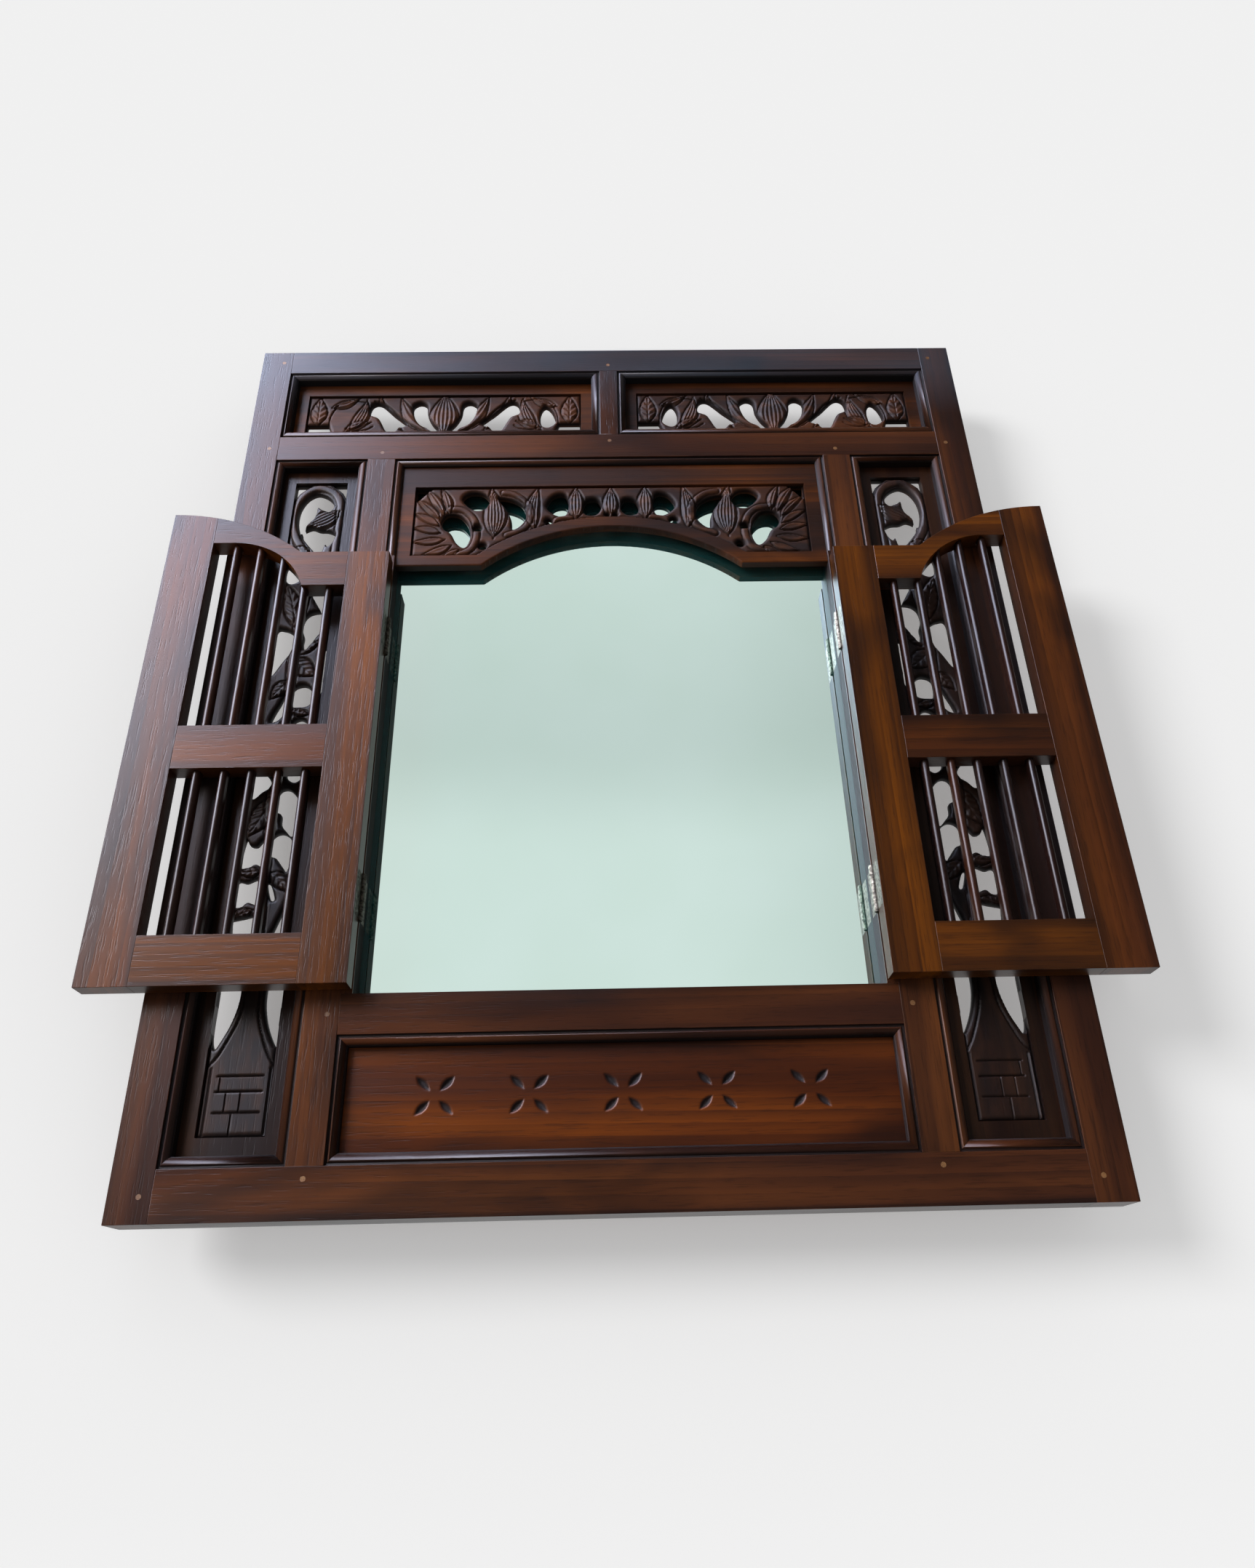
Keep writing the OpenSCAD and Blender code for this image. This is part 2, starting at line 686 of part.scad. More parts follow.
// Room for the knuckles and the pin's heads in the wood beside them
module knuckle_notch(z) {
  h = hinge_h / 2 + pin_head_h + 2 * knuckle_room;
  translate([-pin_x, pin_y, z - h]) cylinder(r = knuckle_r + knuckle_room, h = 2 * h);
}

// Leaf with its own knuckles, cut back round those of the other leaf
module leaf(x, z, own, other) {
  difference() {
    union() {
      leaf_plate(x, z);
      knuckles(z, own, knuckle_r, 0);
    }
    knuckles(z, other, knuckle_r + knuckle_room, knuckle_gap);
    translate([-pin_x, pin_y, z - hinge_h]) cylinder(r = pin_r + pin_gap, h = 2 * hinge_h);
    children();
  }
}

module leaf_screw_places(z) {
  for (i = [-1 : 1])
    translate([0, (leaf_end_y + front_y + knuckle_r) / 2, z + i * leaf_screw_pitch]) children();
}

module frame_leaf_screw_places(z) {
  leaf_screw_places(z) translate([-mirror_x, 0, 0]) rotate([0, -90, 0]) children();
}

module shutter_leaf_screw_places(z) {
  leaf_screw_places(z) translate([-hinge_edge, 0, 0]) rotate([0, 90, 0]) children();
}

module frame_leaf(side, z) {
  color(metal) hung() on_side(side) leaf(-mirror_x - leaf_t, z, [0, 2, 4], [1, 3])
    frame_leaf_screw_places(z) screw(screw_gap);
}

module frame_leaf_screws() {
  color(metal) hung() for (side = [-1, 1], z = [lower_hinge_z, upper_hinge_z])
    on_side(side) frame_leaf_screw_places(z) slotted_screw();
}

module hinge_pins(side) {
  color(metal) hung() on_side(side) for (z = [lower_hinge_z, upper_hinge_z])
    translate([-pin_x, pin_y, z]) {
      translate([0, 0, -hinge_h / 2]) cylinder(r = pin_r, h = hinge_h);
      for (end = [-hinge_h / 2 - pin_head_h, hinge_h / 2])
        translate([0, 0, end]) cylinder(r = pin_head_r, h = pin_head_h);
    }
}

// ---- shutters ----

// Children are made for the shut left shutter; this draws them on a side, opened flat
module opened(side) {
  hung() on_side(side) translate([-2 * pin_x, 2 * pin_y, 0]) rotate([0, 0, 180]) children();
}

// Outline of the shut left shutter, its top following the spandrel
module shutter_outline() {
  intersection() {
    union() {
      patch(-hinge_edge, -meet_edge, shutter_low, shutter_top);
      translate([0, arch_z]) circle(r = arch_r - shutter_gap, $fn = 180);
    }
    patch(-hinge_edge, -meet_edge, shutter_low, second_rail_z);
  }
}

// Room of the upper light under the arched rail
module arched_light() {
  patch(-light_x0, -light_x1, light_mid, light_top);
  patch(-light_arc_x, -light_x1, light_mid, light_crown);
  translate([-light_arc_x, light_crown - light_arc_r]) circle(r = light_arc_r, $fn = 96);
}

// Height of the upper light's edge at a distance from the middle
function light_edge(x) =
  x <= light_arc_x ? light_crown
  : x >= light_arc_x + light_arc_w ? light_top
  : light_crown - light_arc_r + sqrt(pow(light_arc_r, 2) - pow(x - light_arc_x, 2));

// Bar of a light, round at its front and back, between two heights
module bar(x, z0, z1, room) {
  y = (front_y + shutter_y) / 2;
  reach = (bar_d - bar_w) / 2;
  translate([-x, y, z0 - room]) {
    translate([-bar_w / 2 - room, -reach, 0]) cube([bar_w + 2 * room, 2 * reach, z1 - z0 + 2 * room]);
    for (dy = [-reach, reach]) translate([0, dy, 0]) cylinder(r = bar_w / 2 + room, h = z1 - z0 + 2 * room);
  }
}

module upper_bars(room = 0) {
  for (i = [0 : bar_count - 1]) {
    x = bar_x0 - i * bar_pitch;
    bar(x, light_mid - bar_in, light_edge(x) + bar_in, room);
  }
}

module lower_bars(room = 0) {
  for (i = [0 : bar_count - 1])
    bar(bar_x0 - i * bar_pitch, light_low - bar_in, shutter_mid_z + bar_in, room);
}

// Short tenons on both ends of a shutter's rail, or with room their mortises
module stub(x0, x1, z0, z1, room) {
  y = (front_y + shutter_y) / 2;
  block(x0 - room, x1 + room, y - stub_t / 2 - room, y + stub_t / 2 + room,
    z0 + tenon_step - room, z1 - tenon_step + room);
}

module shutter_tenons(room = 0) {
  for (rail = [[shutter_low, light_low], [shutter_mid_z, light_mid]]) {
    stub(-light_x0 - stub_l, -light_x0, rail[0], rail[1], room);
    stub(-light_x1, -light_x1 + stub_l, rail[0], rail[1], room);
  }
  stub(-light_x0 - stub_l, -light_x0, light_top, shutter_top, room);
  stub(-light_x1, -light_x1 + stub_l, light_crown, light_crown + 30, room);
}

module hinge_stile(side) {
  color(wood_light) opened(side) difference() {
    plate(front_y, shutter_y) patch(-hinge_edge, -light_x0, shutter_low, shutter_top);
    shutter_tenons(tenon_gap);
    for (z = [lower_hinge_z, upper_hinge_z]) {
      leaf_plate(-hinge_edge, z);
      knuckle_notch(z);
      shutter_leaf_screw_places(z) screw(screw_gap);
    }
  }
}

module meeting_stile(side) {
  color(wood_light) opened(side) difference() {
    plate(front_y, shutter_y) intersection() {
      shutter_outline();
      patch(-light_x1, -meet_edge, shutter_low, second_rail_z);
    }
    shutter_tenons(tenon_gap);
  }
}

module arched_rail(side) {
  color(wood_light) opened(side) difference() {
    union() {
      plate(front_y, shutter_y) difference() {
        intersection() {
          shutter_outline();
          patch(-light_x0, -light_x1, light_top, second_rail_z);
        }
        arched_light();
      }
      intersection() {
        shutter_tenons();
        block(-half_w, 0, front_y, 0, light_top, second_rail_z);
      }
    }
    upper_bars(tenon_gap);
  }
}

module mid_rail(side) {
  color(wood_light) opened(side) difference() {
    union() {
      block(-light_x0, -light_x1, front_y, shutter_y, shutter_mid_z, light_mid);
      intersection() {
        shutter_tenons();
        block(-half_w, 0, front_y, 0, shutter_mid_z, light_mid);
      }
    }
    upper_bars(tenon_gap);
    lower_bars(tenon_gap);
  }
}

module shutter_bottom_rail(side) {
  color(wood_light) opened(side) difference() {
    union() {
      block(-light_x0, -light_x1, front_y, shutter_y, shutter_low, light_low);
      intersection() {
        shutter_tenons();
        block(-half_w, 0, front_y, 0, shutter_low, light_low);
      }
    }
    lower_bars(tenon_gap);
  }
}

module shutter_bars(side, upper) {
  color(wood) opened(side) {
    if (upper) upper_bars();
    else lower_bars();
  }
}

module shutter_leaf(side, z) {
  color(metal) opened(side) leaf(-hinge_edge, z, [1, 3], [0, 2, 4])
    shutter_leaf_screw_places(z) screw(screw_gap);
}

module shutter_leaf_screws(side) {
  color(metal) opened(side) for (z = [lower_hinge_z, upper_hinge_z])
    shutter_leaf_screw_places(z) slotted_screw();
}

outer_stile(-1);  // outer_stile_left
outer_stile(1);  // outer_stile_right
top_rail();
second_rail();
bottom_rail();
centre_muntin();
inner_stile(-1);  // inner_stile_left
inner_stile(1);  // inner_stile_right
sill_rail();
top_fret(-1);  // top_fret_left
top_fret(1);  // top_fret_right
side_fret(-1);  // side_fret_left
side_fret(1);  // side_fret_right
spandrel_panel();
bottom_panel();
joint_pegs();
mirror_glass();
packing_sheet();
backing_board();
backing_screws();
hanger_plate(-1);  // hanger_plate_left
hanger_plate(1);  // hanger_plate_right
hanger_screws();
frame_leaf(-1, upper_hinge_z);  // frame_leaf_left_upper
frame_leaf(-1, lower_hinge_z);  // frame_leaf_left_lower
frame_leaf(1, upper_hinge_z);  // frame_leaf_right_upper
frame_leaf(1, lower_hinge_z);  // frame_leaf_right_lower
hinge_pins(-1);  // hinge_pins_left
hinge_pins(1);  // hinge_pins_right
frame_leaf_screws();
hinge_stile(-1);  // left_hinge_stile
meeting_stile(-1);  // left_meeting_stile
arched_rail(-1);  // left_arched_rail
mid_rail(-1);  // left_mid_rail
shutter_bottom_rail(-1);  // left_bottom_rail
shutter_bars(-1, true);  // left_upper_bars
shutter_bars(-1, false);  // left_lower_bars
shutter_leaf(-1, upper_hinge_z);  // left_leaf_upper
shutter_leaf(-1, lower_hinge_z);  // left_leaf_lower
shutter_leaf_screws(-1);  // left_leaf_screws
hinge_stile(1);  // right_hinge_stile
meeting_stile(1);  // right_meeting_stile
arched_rail(1);  // right_arched_rail
mid_rail(1);  // right_mid_rail
shutter_bottom_rail(1);  // right_bottom_rail
shutter_bars(1, true);  // right_upper_bars
shutter_bars(1, false);  // right_lower_bars
shutter_leaf(1, upper_hinge_z);  // right_leaf_upper
shutter_leaf(1, lower_hinge_z);  // right_leaf_lower
shutter_leaf_screws(1);  // right_leaf_screws
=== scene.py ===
import math
from functools import partial

import bmesh
import bpy
import numpy as np
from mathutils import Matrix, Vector


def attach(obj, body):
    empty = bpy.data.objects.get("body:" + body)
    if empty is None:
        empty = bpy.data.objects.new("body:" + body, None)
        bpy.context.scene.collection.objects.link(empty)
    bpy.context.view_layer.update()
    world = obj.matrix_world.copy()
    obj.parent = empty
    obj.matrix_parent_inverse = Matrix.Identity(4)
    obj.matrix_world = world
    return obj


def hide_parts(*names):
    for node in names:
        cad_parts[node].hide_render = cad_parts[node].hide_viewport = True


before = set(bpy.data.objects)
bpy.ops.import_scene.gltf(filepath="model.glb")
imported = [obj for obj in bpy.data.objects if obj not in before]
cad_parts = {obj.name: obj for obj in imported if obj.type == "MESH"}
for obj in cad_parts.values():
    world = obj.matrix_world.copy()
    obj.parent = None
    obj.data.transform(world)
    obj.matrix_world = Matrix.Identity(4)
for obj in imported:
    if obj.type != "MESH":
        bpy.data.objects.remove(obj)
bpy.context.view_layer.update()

scene = bpy.context.scene
mm = 0.001
hangHeight = 820    # mm from the frame's bottom to the origin; heights here are from the bottom
sides = ("left", "right")


def linear(hexColour):
    # sRGB to linear: c / 12.92 in the dark part, ((c + 0.055) / 1.055) ^ 2.4 above it
    c = np.array([int(hexColour[i:i + 2], 16) for i in (1, 3, 5)]) / 255
    c = np.where(c <= 0.04045, c / 12.92, ((c + 0.055) / 1.055) ** 2.4)
    return (*map(float, c), 1.0)


def addNode(tree, kind, inputs=(), **settings):
    # Inputs come by name or number, or in their order; a node as an input is its first live output
    node = tree.nodes.new("ShaderNode" + kind)
    for name, value in settings.items():
        setattr(node, name, value)
    for name, value in (inputs if isinstance(inputs, dict) else dict(enumerate(inputs))).items():
        if isinstance(value, bpy.types.Node):
            value = next(output for output in value.outputs if output.enabled)
        if isinstance(value, bpy.types.NodeSocket):
            tree.links.new(value, node.inputs[name])
        else:
            node.inputs[name].default_value = value
    return node


def addObject(name, data):
    made = bpy.data.objects.new(name, data)
    scene.collection.objects.link(made)
    return made


def newMaterial(name):
    material = bpy.data.materials.new(name)
    material.use_nodes = True
    material.node_tree.nodes.clear()
    return material, partial(addNode, material.node_tree)


# Settings that many nodes share
times = {"operation": "MULTIPLY"}
smooth = {"interpolation_type": "SMOOTHSTEP"}

camera = {
    "place": (-8.3, -824.0, -907.0),         # mm from the hanging holes: low in front, looking up
    "turn": (116.16, 1.318, -0.543),         # degrees
    "lens": 23.91,                           # mm, on a 36 mm long side
    "shiftUp": 0.0334,
}

cameraData = bpy.data.cameras.new("camera")
cameraData.lens = camera["lens"]
cameraData.shift_y = camera["shiftUp"]
cameraData.clip_start = 0.01
cameraData.clip_end = 50
cameraObject = addObject("camera", cameraData)
cameraObject.location = Vector(camera["place"]) * mm
cameraObject.rotation_euler = [math.radians(a) for a in camera["turn"]]
scene.camera = cameraObject
scene.view_settings.view_transform = "Standard"

stage = {
    "wallBehind": 45.0,      # mm from the frame's back to the wall
    "floorBelow": 1300.0,    # mm from the hanging holes down to the floor
    "reach": 6000.0,
    "curve": 300.0,          # mm, the bend between the wall and the floor
    "colour": "#f0f0f0",
    "litShare": 0.72,        # share of the wall's tone that the shadow can take away
}

# The shares are parts of the plain level, at which a white face turned to the front is just white
lights = {
    "world": 0.44,
    "sun": 0.25,
    "sunSoft": 22.0,         # degrees
    "sunFrom": (-0.96, -0.80, 0.44),
    "sunColour": "#ffffff",
    "panelPower": 17.0,      # watts
    "panelSize": (0.7, 0.9),
    "panelPlace": (-1.30, -0.90, 0.20),
    "panelAim": (-0.2, 0.0, -0.35),
    "panelColour": "#fff4ea",
    "roomFront": 0.15,       # the tone that blurred reflections see in front of the wall
    "roomBack": 0.8,         # and behind it
    "roomSide": (-0.2, 0.3),     # the directions, by their Y, between which it changes
    # The room's shades in a sharp mirror: an axis, two places on it and the level at each
    "roomShades": [("X", 0.05, 0.45, 1.0, 0.7), ("Z", 0.42, 0.52, 1.06, 0.88),
                   ("Z", 0.52, 0.69, 1.0, 1.14)],
    "window": 24.5,          # the brightness of the window at the upper left in blurred reflections
    "windowAt": (-0.60, -0.43, 0.675),
    "windowEdge": (0.88, 0.96),  # cosines of the angles from its middle where it begins and is full
    "windowColour": "#d8e2ff",
}


def makeStage():
    # Wall and floor in one sheet: down the wall and out along the floor, with a curve between them
    drop, out, curve = stage["floorBelow"], stage["reach"], stage["curve"]
    turn = np.radians(np.linspace(0, 90, 13))
    back = stage["wallBehind"]
    y = np.concatenate([[back], back - curve * (1 - np.cos(turn)), [-out]])
    z = np.concatenate([[out], -drop + curve * (1 - np.sin(turn)), [-drop]])
    x = np.array([-out, out])
    points = np.stack([np.repeat(x, len(y)), np.tile(y, 2), np.tile(z, 2)], 1) * mm
    n = len(y)
    faces = [(i, i + 1, n + i + 1, n + i) for i in range(n - 1)]
    mesh = bpy.data.meshes.new("backdrop")
    mesh.from_pydata(points.tolist(), [], faces)
    mesh.shade_smooth()
    backdrop = addObject("backdrop", mesh)
    # Seen, and shaded by the part, but it takes no light from it and shows in nothing else
    backdrop.visible_diffuse = False
    backdrop.visible_glossy = False
    backdrop.visible_transmission = False
    backdrop.visible_shadow = False

    paper, add = newMaterial("matt_backdrop_paper")
    colour = linear(stage["colour"])
    plain = lights["world"] + lights["sun"]
    grey = tuple(c * stage["litShare"] / plain for c in colour[:3]) + (1.0,)
    lit = add("BsdfDiffuse", {"Color": grey})
    glow = add("Emission", {"Color": colour, "Strength": 1 - stage["litShare"]})
    both = add("AddShader", (lit, glow))
    clear = add("BsdfTransparent")
    side = add("NewGeometry").outputs["Backfacing"]
    add("OutputMaterial", (add("MixShader", (side, both, clear)),))
    mesh.materials.append(paper)
    return backdrop


def makeLights(backdrop):
    sunData = bpy.data.lights.new("sun", "SUN")
    turned = -Vector(lights["sunFrom"]).normalized().y
    sunData.energy = lights["sun"] / turned * math.pi
    sunData.angle = math.radians(lights["sunSoft"])
    sunData.color = linear(lights["sunColour"])[:3]
    sun = addObject("sun", sunData)
    sun.rotation_euler = Vector(lights["sunFrom"]).to_track_quat("Z", "Y").to_euler()

    panelData = bpy.data.lights.new("panel", "AREA")
    panelData.shape = "RECTANGLE"
    panelData.size, panelData.size_y = lights["panelSize"]
    panelData.energy = lights["panelPower"]
    panelData.color = linear(lights["panelColour"])[:3]
    panel = addObject("panel", panelData)
    panel.location = lights["panelPlace"]
    aim = Vector(lights["panelAim"]) - panel.location
    panel.rotation_euler = aim.to_track_quat("-Z", "Y").to_euler()
    # It is close to the left side and would shade the wall from side to side: the wall is left out
    left = bpy.data.collections.new("left out of the panel light")
    left.objects.link(backdrop)
    left.collection_objects[0].light_linking.link_state = "EXCLUDE"
    panel.light_linking.receiver_collection = left

    # The camera sees the plain backdrop tone. A sharp mirror sees it too, with the soft shades of a
    # pale room. Blurred reflections see a dimmer room with a window at the upper left
    world = bpy.data.worlds.new("studio")
    world.cycles.sampling_method = "NONE"
    world.use_nodes = True
    world.node_tree.nodes.clear()
    add = partial(addNode, world.node_tree)
    path = add("LightPath").outputs
    isCamera = path["Is Camera Ray"]
    toward = add("TexCoord").outputs["Generated"]
    axes = add("SeparateXYZ", (toward,)).outputs
    room = (axes["Y"], *lights["roomSide"], lights["roomFront"], lights["roomBack"])
    level = add("MapRange", room, **smooth)
    sharp = path["Is Singular Ray"]
    for axis, *shade in lights["roomShades"]:
        shade = add("MapRange", (axes[axis], *shade), **smooth)
        sharp = add("Math", (sharp, shade), **times)
    for other in (sharp, isCamera):
        level = add("Math", (level, other), operation="MAXIMUM")
    seen = isCamera
    for kind in ("Is Glossy Ray", "Is Transmission Ray"):
        seen = add("Math", (seen, path[kind]), operation="MAXIMUM")
    middle = Vector(lights["windowAt"]).normalized()
    facing = add("VectorMath", (toward, middle), operation="DOT_PRODUCT")
    inWindow = add("MapRange", (facing, *lights["windowEdge"]), **smooth)
    unseen = add("Math", (1.0, isCamera), operation="SUBTRACT")
    glare = lights["window"]
    for share in (inWindow, unseen):
        glare = add("Math", (share, glare), **times)
    light = add("Background", ((1, 1, 1, 1), lights["world"]))
    shown = add("Background", (linear(stage["colour"]), level))
    window = add("Background", (linear(lights["windowColour"]), glare))
    both = add("AddShader", (shown, window))
    add("OutputWorld", (add("MixShader", (seen, light, both)),))
    scene.world = world


makeLights(makeStage())
print("stage and lights ready")

frameWood = {
    "dark": "#2a160f", "body": "#432314", "warm": "#643718", "red": "#3c1710",
    # The near-black stain colour also paints shade in the hollows, the sunk lines and behind the
    # open shutters; the cool grey one paints a sheen along the top rail
    "stain": "#0d0808", "bare": "#6b4026", "sheenColour": "#4a6478",
    # Patterns: mm across the grain, how many times as long along it, detail and distortion; then
    # the range of the noise and what it becomes, if not 0 to 1
    "patches": (44.0, 9.0, 1.0, 0.3),        # warm middle parts and dark stained ones
    "streaks": (2.8, 110.0, 2.0, 0.0),
    "pores": (1.2, 18.0, 2.0, 0.0, 0.34, 0.44),                # wider than real ones, to show
    "reddish": (70.0, 9.0, 1.0, 0.0, 0.35, 0.60, 0.5, 1.0),
    "lines": (16.0, 26.0, 1.0, 0.0, 0.36, 0.64, 0.15, 0.8),    # where the growth lines are strong
    "clouds": (62.0, 2.5, 2.0, 0.5, 0.50, 0.68, 0.0, 0.55),    # where the stain went in deeper
    "edges": (34.0, 9.0, 0.5, 0.0, 0.36, 0.64, 0.2, 1.5),      # how far in that at the edges goes
    "rubbing": (9.0, 3.0, 3.0, 0.0, 0.45, 0.68, 0.0, 0.5),
    # Patches of the cool grey sheen painted along the top rail
    "paintedSheen": (50.0, 4.0, 1.0, 0.0, 0.35, 0.65, 0.6, 1.1),
    "gloss": (40.0, 12.0, 2.0, 0.0, 0.3, 0.7, 0.30, 0.38),     # the roughness
    # Ranges of the patches' noise, of the streaks' and of the growth lines with the streaks
    "bodyRange": (0.26, 0.60), "warmRange": (0.46, 0.70), "streakRange": (0.36, 0.62, 0.5, 1.0),
    "lineRange": (0.6, 1.6),
    # The growth lines are 314 / Scale mm apart
    "rings": {"Scale": 34.0, "Distortion": 13.0, "Detail": 2.0, "Detail Scale": 0.3},
    "ringStretch": 0.045, "ringTilt": (0.02, 0.03, 0.0),
    # The most that the painted sheen covers, and the painted shade in the sunk lines and behind the
    # open shutters
    "paintedSheenShare": 0.25, "sunkShadeShare": 0.85, "shadeBehindShare": 0.5,
    "edgeShare": 0.6, "edgeReach": 15.0, "leastReach": 0.1,    # mm, of the stain at the edges
    "poreShare": 0.3, "poreDepth": 0.10,                       # mm
    "poreRelief": 0.7, "streakRelief": 0.3, "reliefStrength": 0.6,
    "hollowRoughness": 0.4, "shine": 0.22,
}
shutterWood = dict(frameWood, dark="#2c1406", body="#4c2504", warm="#804505", red="#502813",
                   clouds=(62.0, 2.5, 2.0, 0.5, 0.50, 0.68, 0.0, 0.6))
panelWood = dict(frameWood, dark="#331508", body="#552609", warm="#783b08", edgeReach=16.0)
topWood = dict(frameWood, dark="#1d0e07", body="#381c0c", warm="#6b3812", edgeReach=0.1, shine=0.14,
               gloss=(40.0, 12.0, 2.0, 0.0, 0.3, 0.7, 0.38, 0.48))
# The side frets' darker colours are painted shade for their recess behind the bars
shadedSideWood = dict(frameWood, dark="#140906", body="#221009", warm="#38200f", bare="#50301e",
                edgeReach=0.1)
barWood = dict(shadedSideWood, dark="#160a07", body="#25120b", warm="#3c2013")

# Places on the frame, in mm from the hanging holes
frameZones = {
    # Painted shade darkens the sunk lines
    "sunk": (-29.4, -28.3),      # the sunk lines, from 0.6 mm below the front
    # Inside the outer faces
    "halfWidth": 374.3, "middle": -370.0, "halfHeight": 449.3, "back": -1.0,
    # Where the cool grey sheen is painted
    "paintedSheen": (-20.0, 48.0),       # from the top panels up to the top rail
    # Behind the open shutters, where the frame's shade is painted
    "shadeBehindLow": (-655.0, -635.0), "shadeBehindHigh": (-226.0, -246.0), "shadeBehindSide": (245.0, 260.0),
}


def varnishedWood(name, look, onFrame=False):
    # Stained hardwood under brushed satin varnish: soft warm and dark parts along the grain, growth
    # lines, fine open pores, a darker stain at the edges, and nearly black stain with painted shade
    # in the hollows
    material, add = newMaterial(name)
    place, edges = (add("Attribute", attribute_name=kind).outputs["Vector"]
                    for kind in ("grainPlace", "boardEdges"))
    worn, stainAndShade = (add("Attribute", attribute_name=kind).outputs["Fac"]
                    for kind in ("worn", "stainAndShade"))
    # The board's two edges across its grain, and its own tone: 1 is all red and -1 all warm
    limits = add("SeparateXYZ", (edges,)).outputs
    own = limits["Z"]

    def pattern(kind):
        across, stretch, detail, distortion, *used = look[kind]
        drawn = add("Mapping", {"Vector": place, "Scale": (1, 1, 1 / stretch)})
        noise = add("TexNoise", {"Vector": drawn, "Scale": 1 / (across * mm), "Detail": detail,
                                 "Distortion": distortion})
        return add("MapRange", (noise, *used)) if used else noise

    patches, streaks, pores = (pattern(kind) for kind in ("patches", "streaks", "pores"))
    drawn = add("Mapping", {"Vector": place, "Scale": (1, 1, look["ringStretch"]),
                            "Rotation": look["ringTilt"]})
    rings = add("TexWave", {"Vector": drawn, **look["rings"]}, wave_type="RINGS",
                rings_direction="Z", wave_profile="SAW").outputs["Fac"]

    ownWarmth = add("Math", (own, 0.0), operation="MINIMUM")
    warmth = add("MapRange", (patches, *look["warmRange"]))
    warmth = add("Math", (warmth, ownWarmth), operation="SUBTRACT")
    warmth = add("Math", (warmth, add("MapRange", (streaks, *look["streakRange"]))), **times)
    redness = add("Math", (own, 0.0), operation="MAXIMUM")
    redness = add("Math", (redness, pattern("reddish")), **times)
    lines = add("Math", (rings, streaks), operation="ADD")
    lines = add("MapRange", (lines, *look["lineRange"]))
    lines = add("Math", (lines, pattern("lines")), **times)
    # The darker stain fades out from the nearer edge over its own uneven reach
    across = add("SeparateXYZ", (place,)).outputs["X"]
    fromEdges = [add("Math", ends, operation="SUBTRACT")
                 for ends in ((across, limits["X"]), (limits["Y"], across))]
    inward = add("Math", fromEdges, operation="MINIMUM")
    reach = add("Math", (pattern("edges"), look["edgeReach"] * mm), **times)
    reach = add("Math", (reach, look["leastReach"] * mm), operation="MAXIMUM")
    # From the lowest up: how much of the surface each takes, and its colour
    layers = [
        (add("MapRange", (patches, *look["bodyRange"])), "body"),
        (warmth, "warm"), (redness, "red"), (lines, "dark"),
        (add("MapRange", (pores, 0.0, 1.0, look["poreShare"], 0.0)), "stain"),
        (pattern("clouds"), "stain"),
        (add("MapRange", (inward, 0.0, reach, look["edgeShare"], 0.0)), "stain"),
        (add("Math", (worn, pattern("rubbing")), **times), "bare"),
    ]
    if onFrame:
        zone = {key: np.array(value) * mm for key, value in frameZones.items()}
        axes = add("SeparateXYZ", (add("TexCoord").outputs["Object"],)).outputs
        sideways = add("Math", (axes["X"],), operation="ABSOLUTE")
        upward = add("Math", (axes["Z"], -zone["middle"]), operation="ADD")
        upward = add("Math", (upward,), operation="ABSOLUTE")
        inside = add("Math", (axes["Y"], zone["back"]), operation="LESS_THAN")
        for away, limit in ((sideways, "halfWidth"), (upward, "halfHeight")):
            within = add("Math", (away, zone[limit]), operation="LESS_THAN")
            inside = add("Math", (inside, within), **times)
        # A cool grey sheen is painted along the top rail: a painted reflection of the window
        paintedSheen = add("MapRange", (axes["Z"], *zone["paintedSheen"], 0.0, look["paintedSheenShare"]))
        layers.append((add("Math", (paintedSheen, pattern("paintedSheen")), **times), "sheenColour"))
        # Painted shade in the sunk lines and on the frame behind the open shutters, where they
        # shade it
        sunk = add("MapRange", (axes["Y"], *zone["sunk"], 0.0, look["sunkShadeShare"]))
        shadeBehind = look["shadeBehindShare"]
        for value, limit in ((axes["Z"], "shadeBehindLow"), (axes["Z"], "shadeBehindHigh"),
                             (sideways, "shadeBehindSide")):
            within = add("MapRange", (value, *zone[limit]))
            shadeBehind = add("Math", (within, shadeBehind), **times)
        darker = add("Math", (sunk, shadeBehind), operation="MAXIMUM")
        darker = add("Math", (darker, inside), **times)
        stainAndShade = add("Math", (stainAndShade, darker), operation="MAXIMUM")
    # Stain and painted shade in the hollows, with the frame's painted shade
    layers.append((stainAndShade, "stain"))
    colour = linear(look["dark"])
    for share, stain in layers:
        colour = add("Mix", {0: share, 6: colour, 7: linear(look[stain])}, data_type="RGBA")

    # The hollows are matt, and the bump comes from the pores with a little from the streaks
    rough = (stainAndShade, look["hollowRoughness"], pattern("gloss"))
    rough = add("Math", rough, operation="MULTIPLY_ADD")
    relief = add("Math", (streaks, look["streakRelief"]), **times)
    relief = add("Math", (pores, look["poreRelief"], relief), operation="MULTIPLY_ADD")
    bump = add("Bump", {"Height": relief, "Distance": look["poreDepth"] * mm,
                        "Strength": look["reliefStrength"]})
    surface = add("BsdfPrincipled", {"Base Color": colour, "Roughness": rough, "IOR": 1.5,
                                     "Normal": bump, "Specular IOR Level": look["shine"]})
    add("OutputMaterial", (surface,))
    return material


frameMaterial = varnishedWood("stained_hardwood_varnished", frameWood, onFrame=True)
shutterMaterial = varnishedWood("shutter_hardwood_varnished", shutterWood)
panelMaterial = varnishedWood("panel_hardwood_varnished", panelWood)
topMaterial = varnishedWood("carved_hardwood_varnished", topWood)
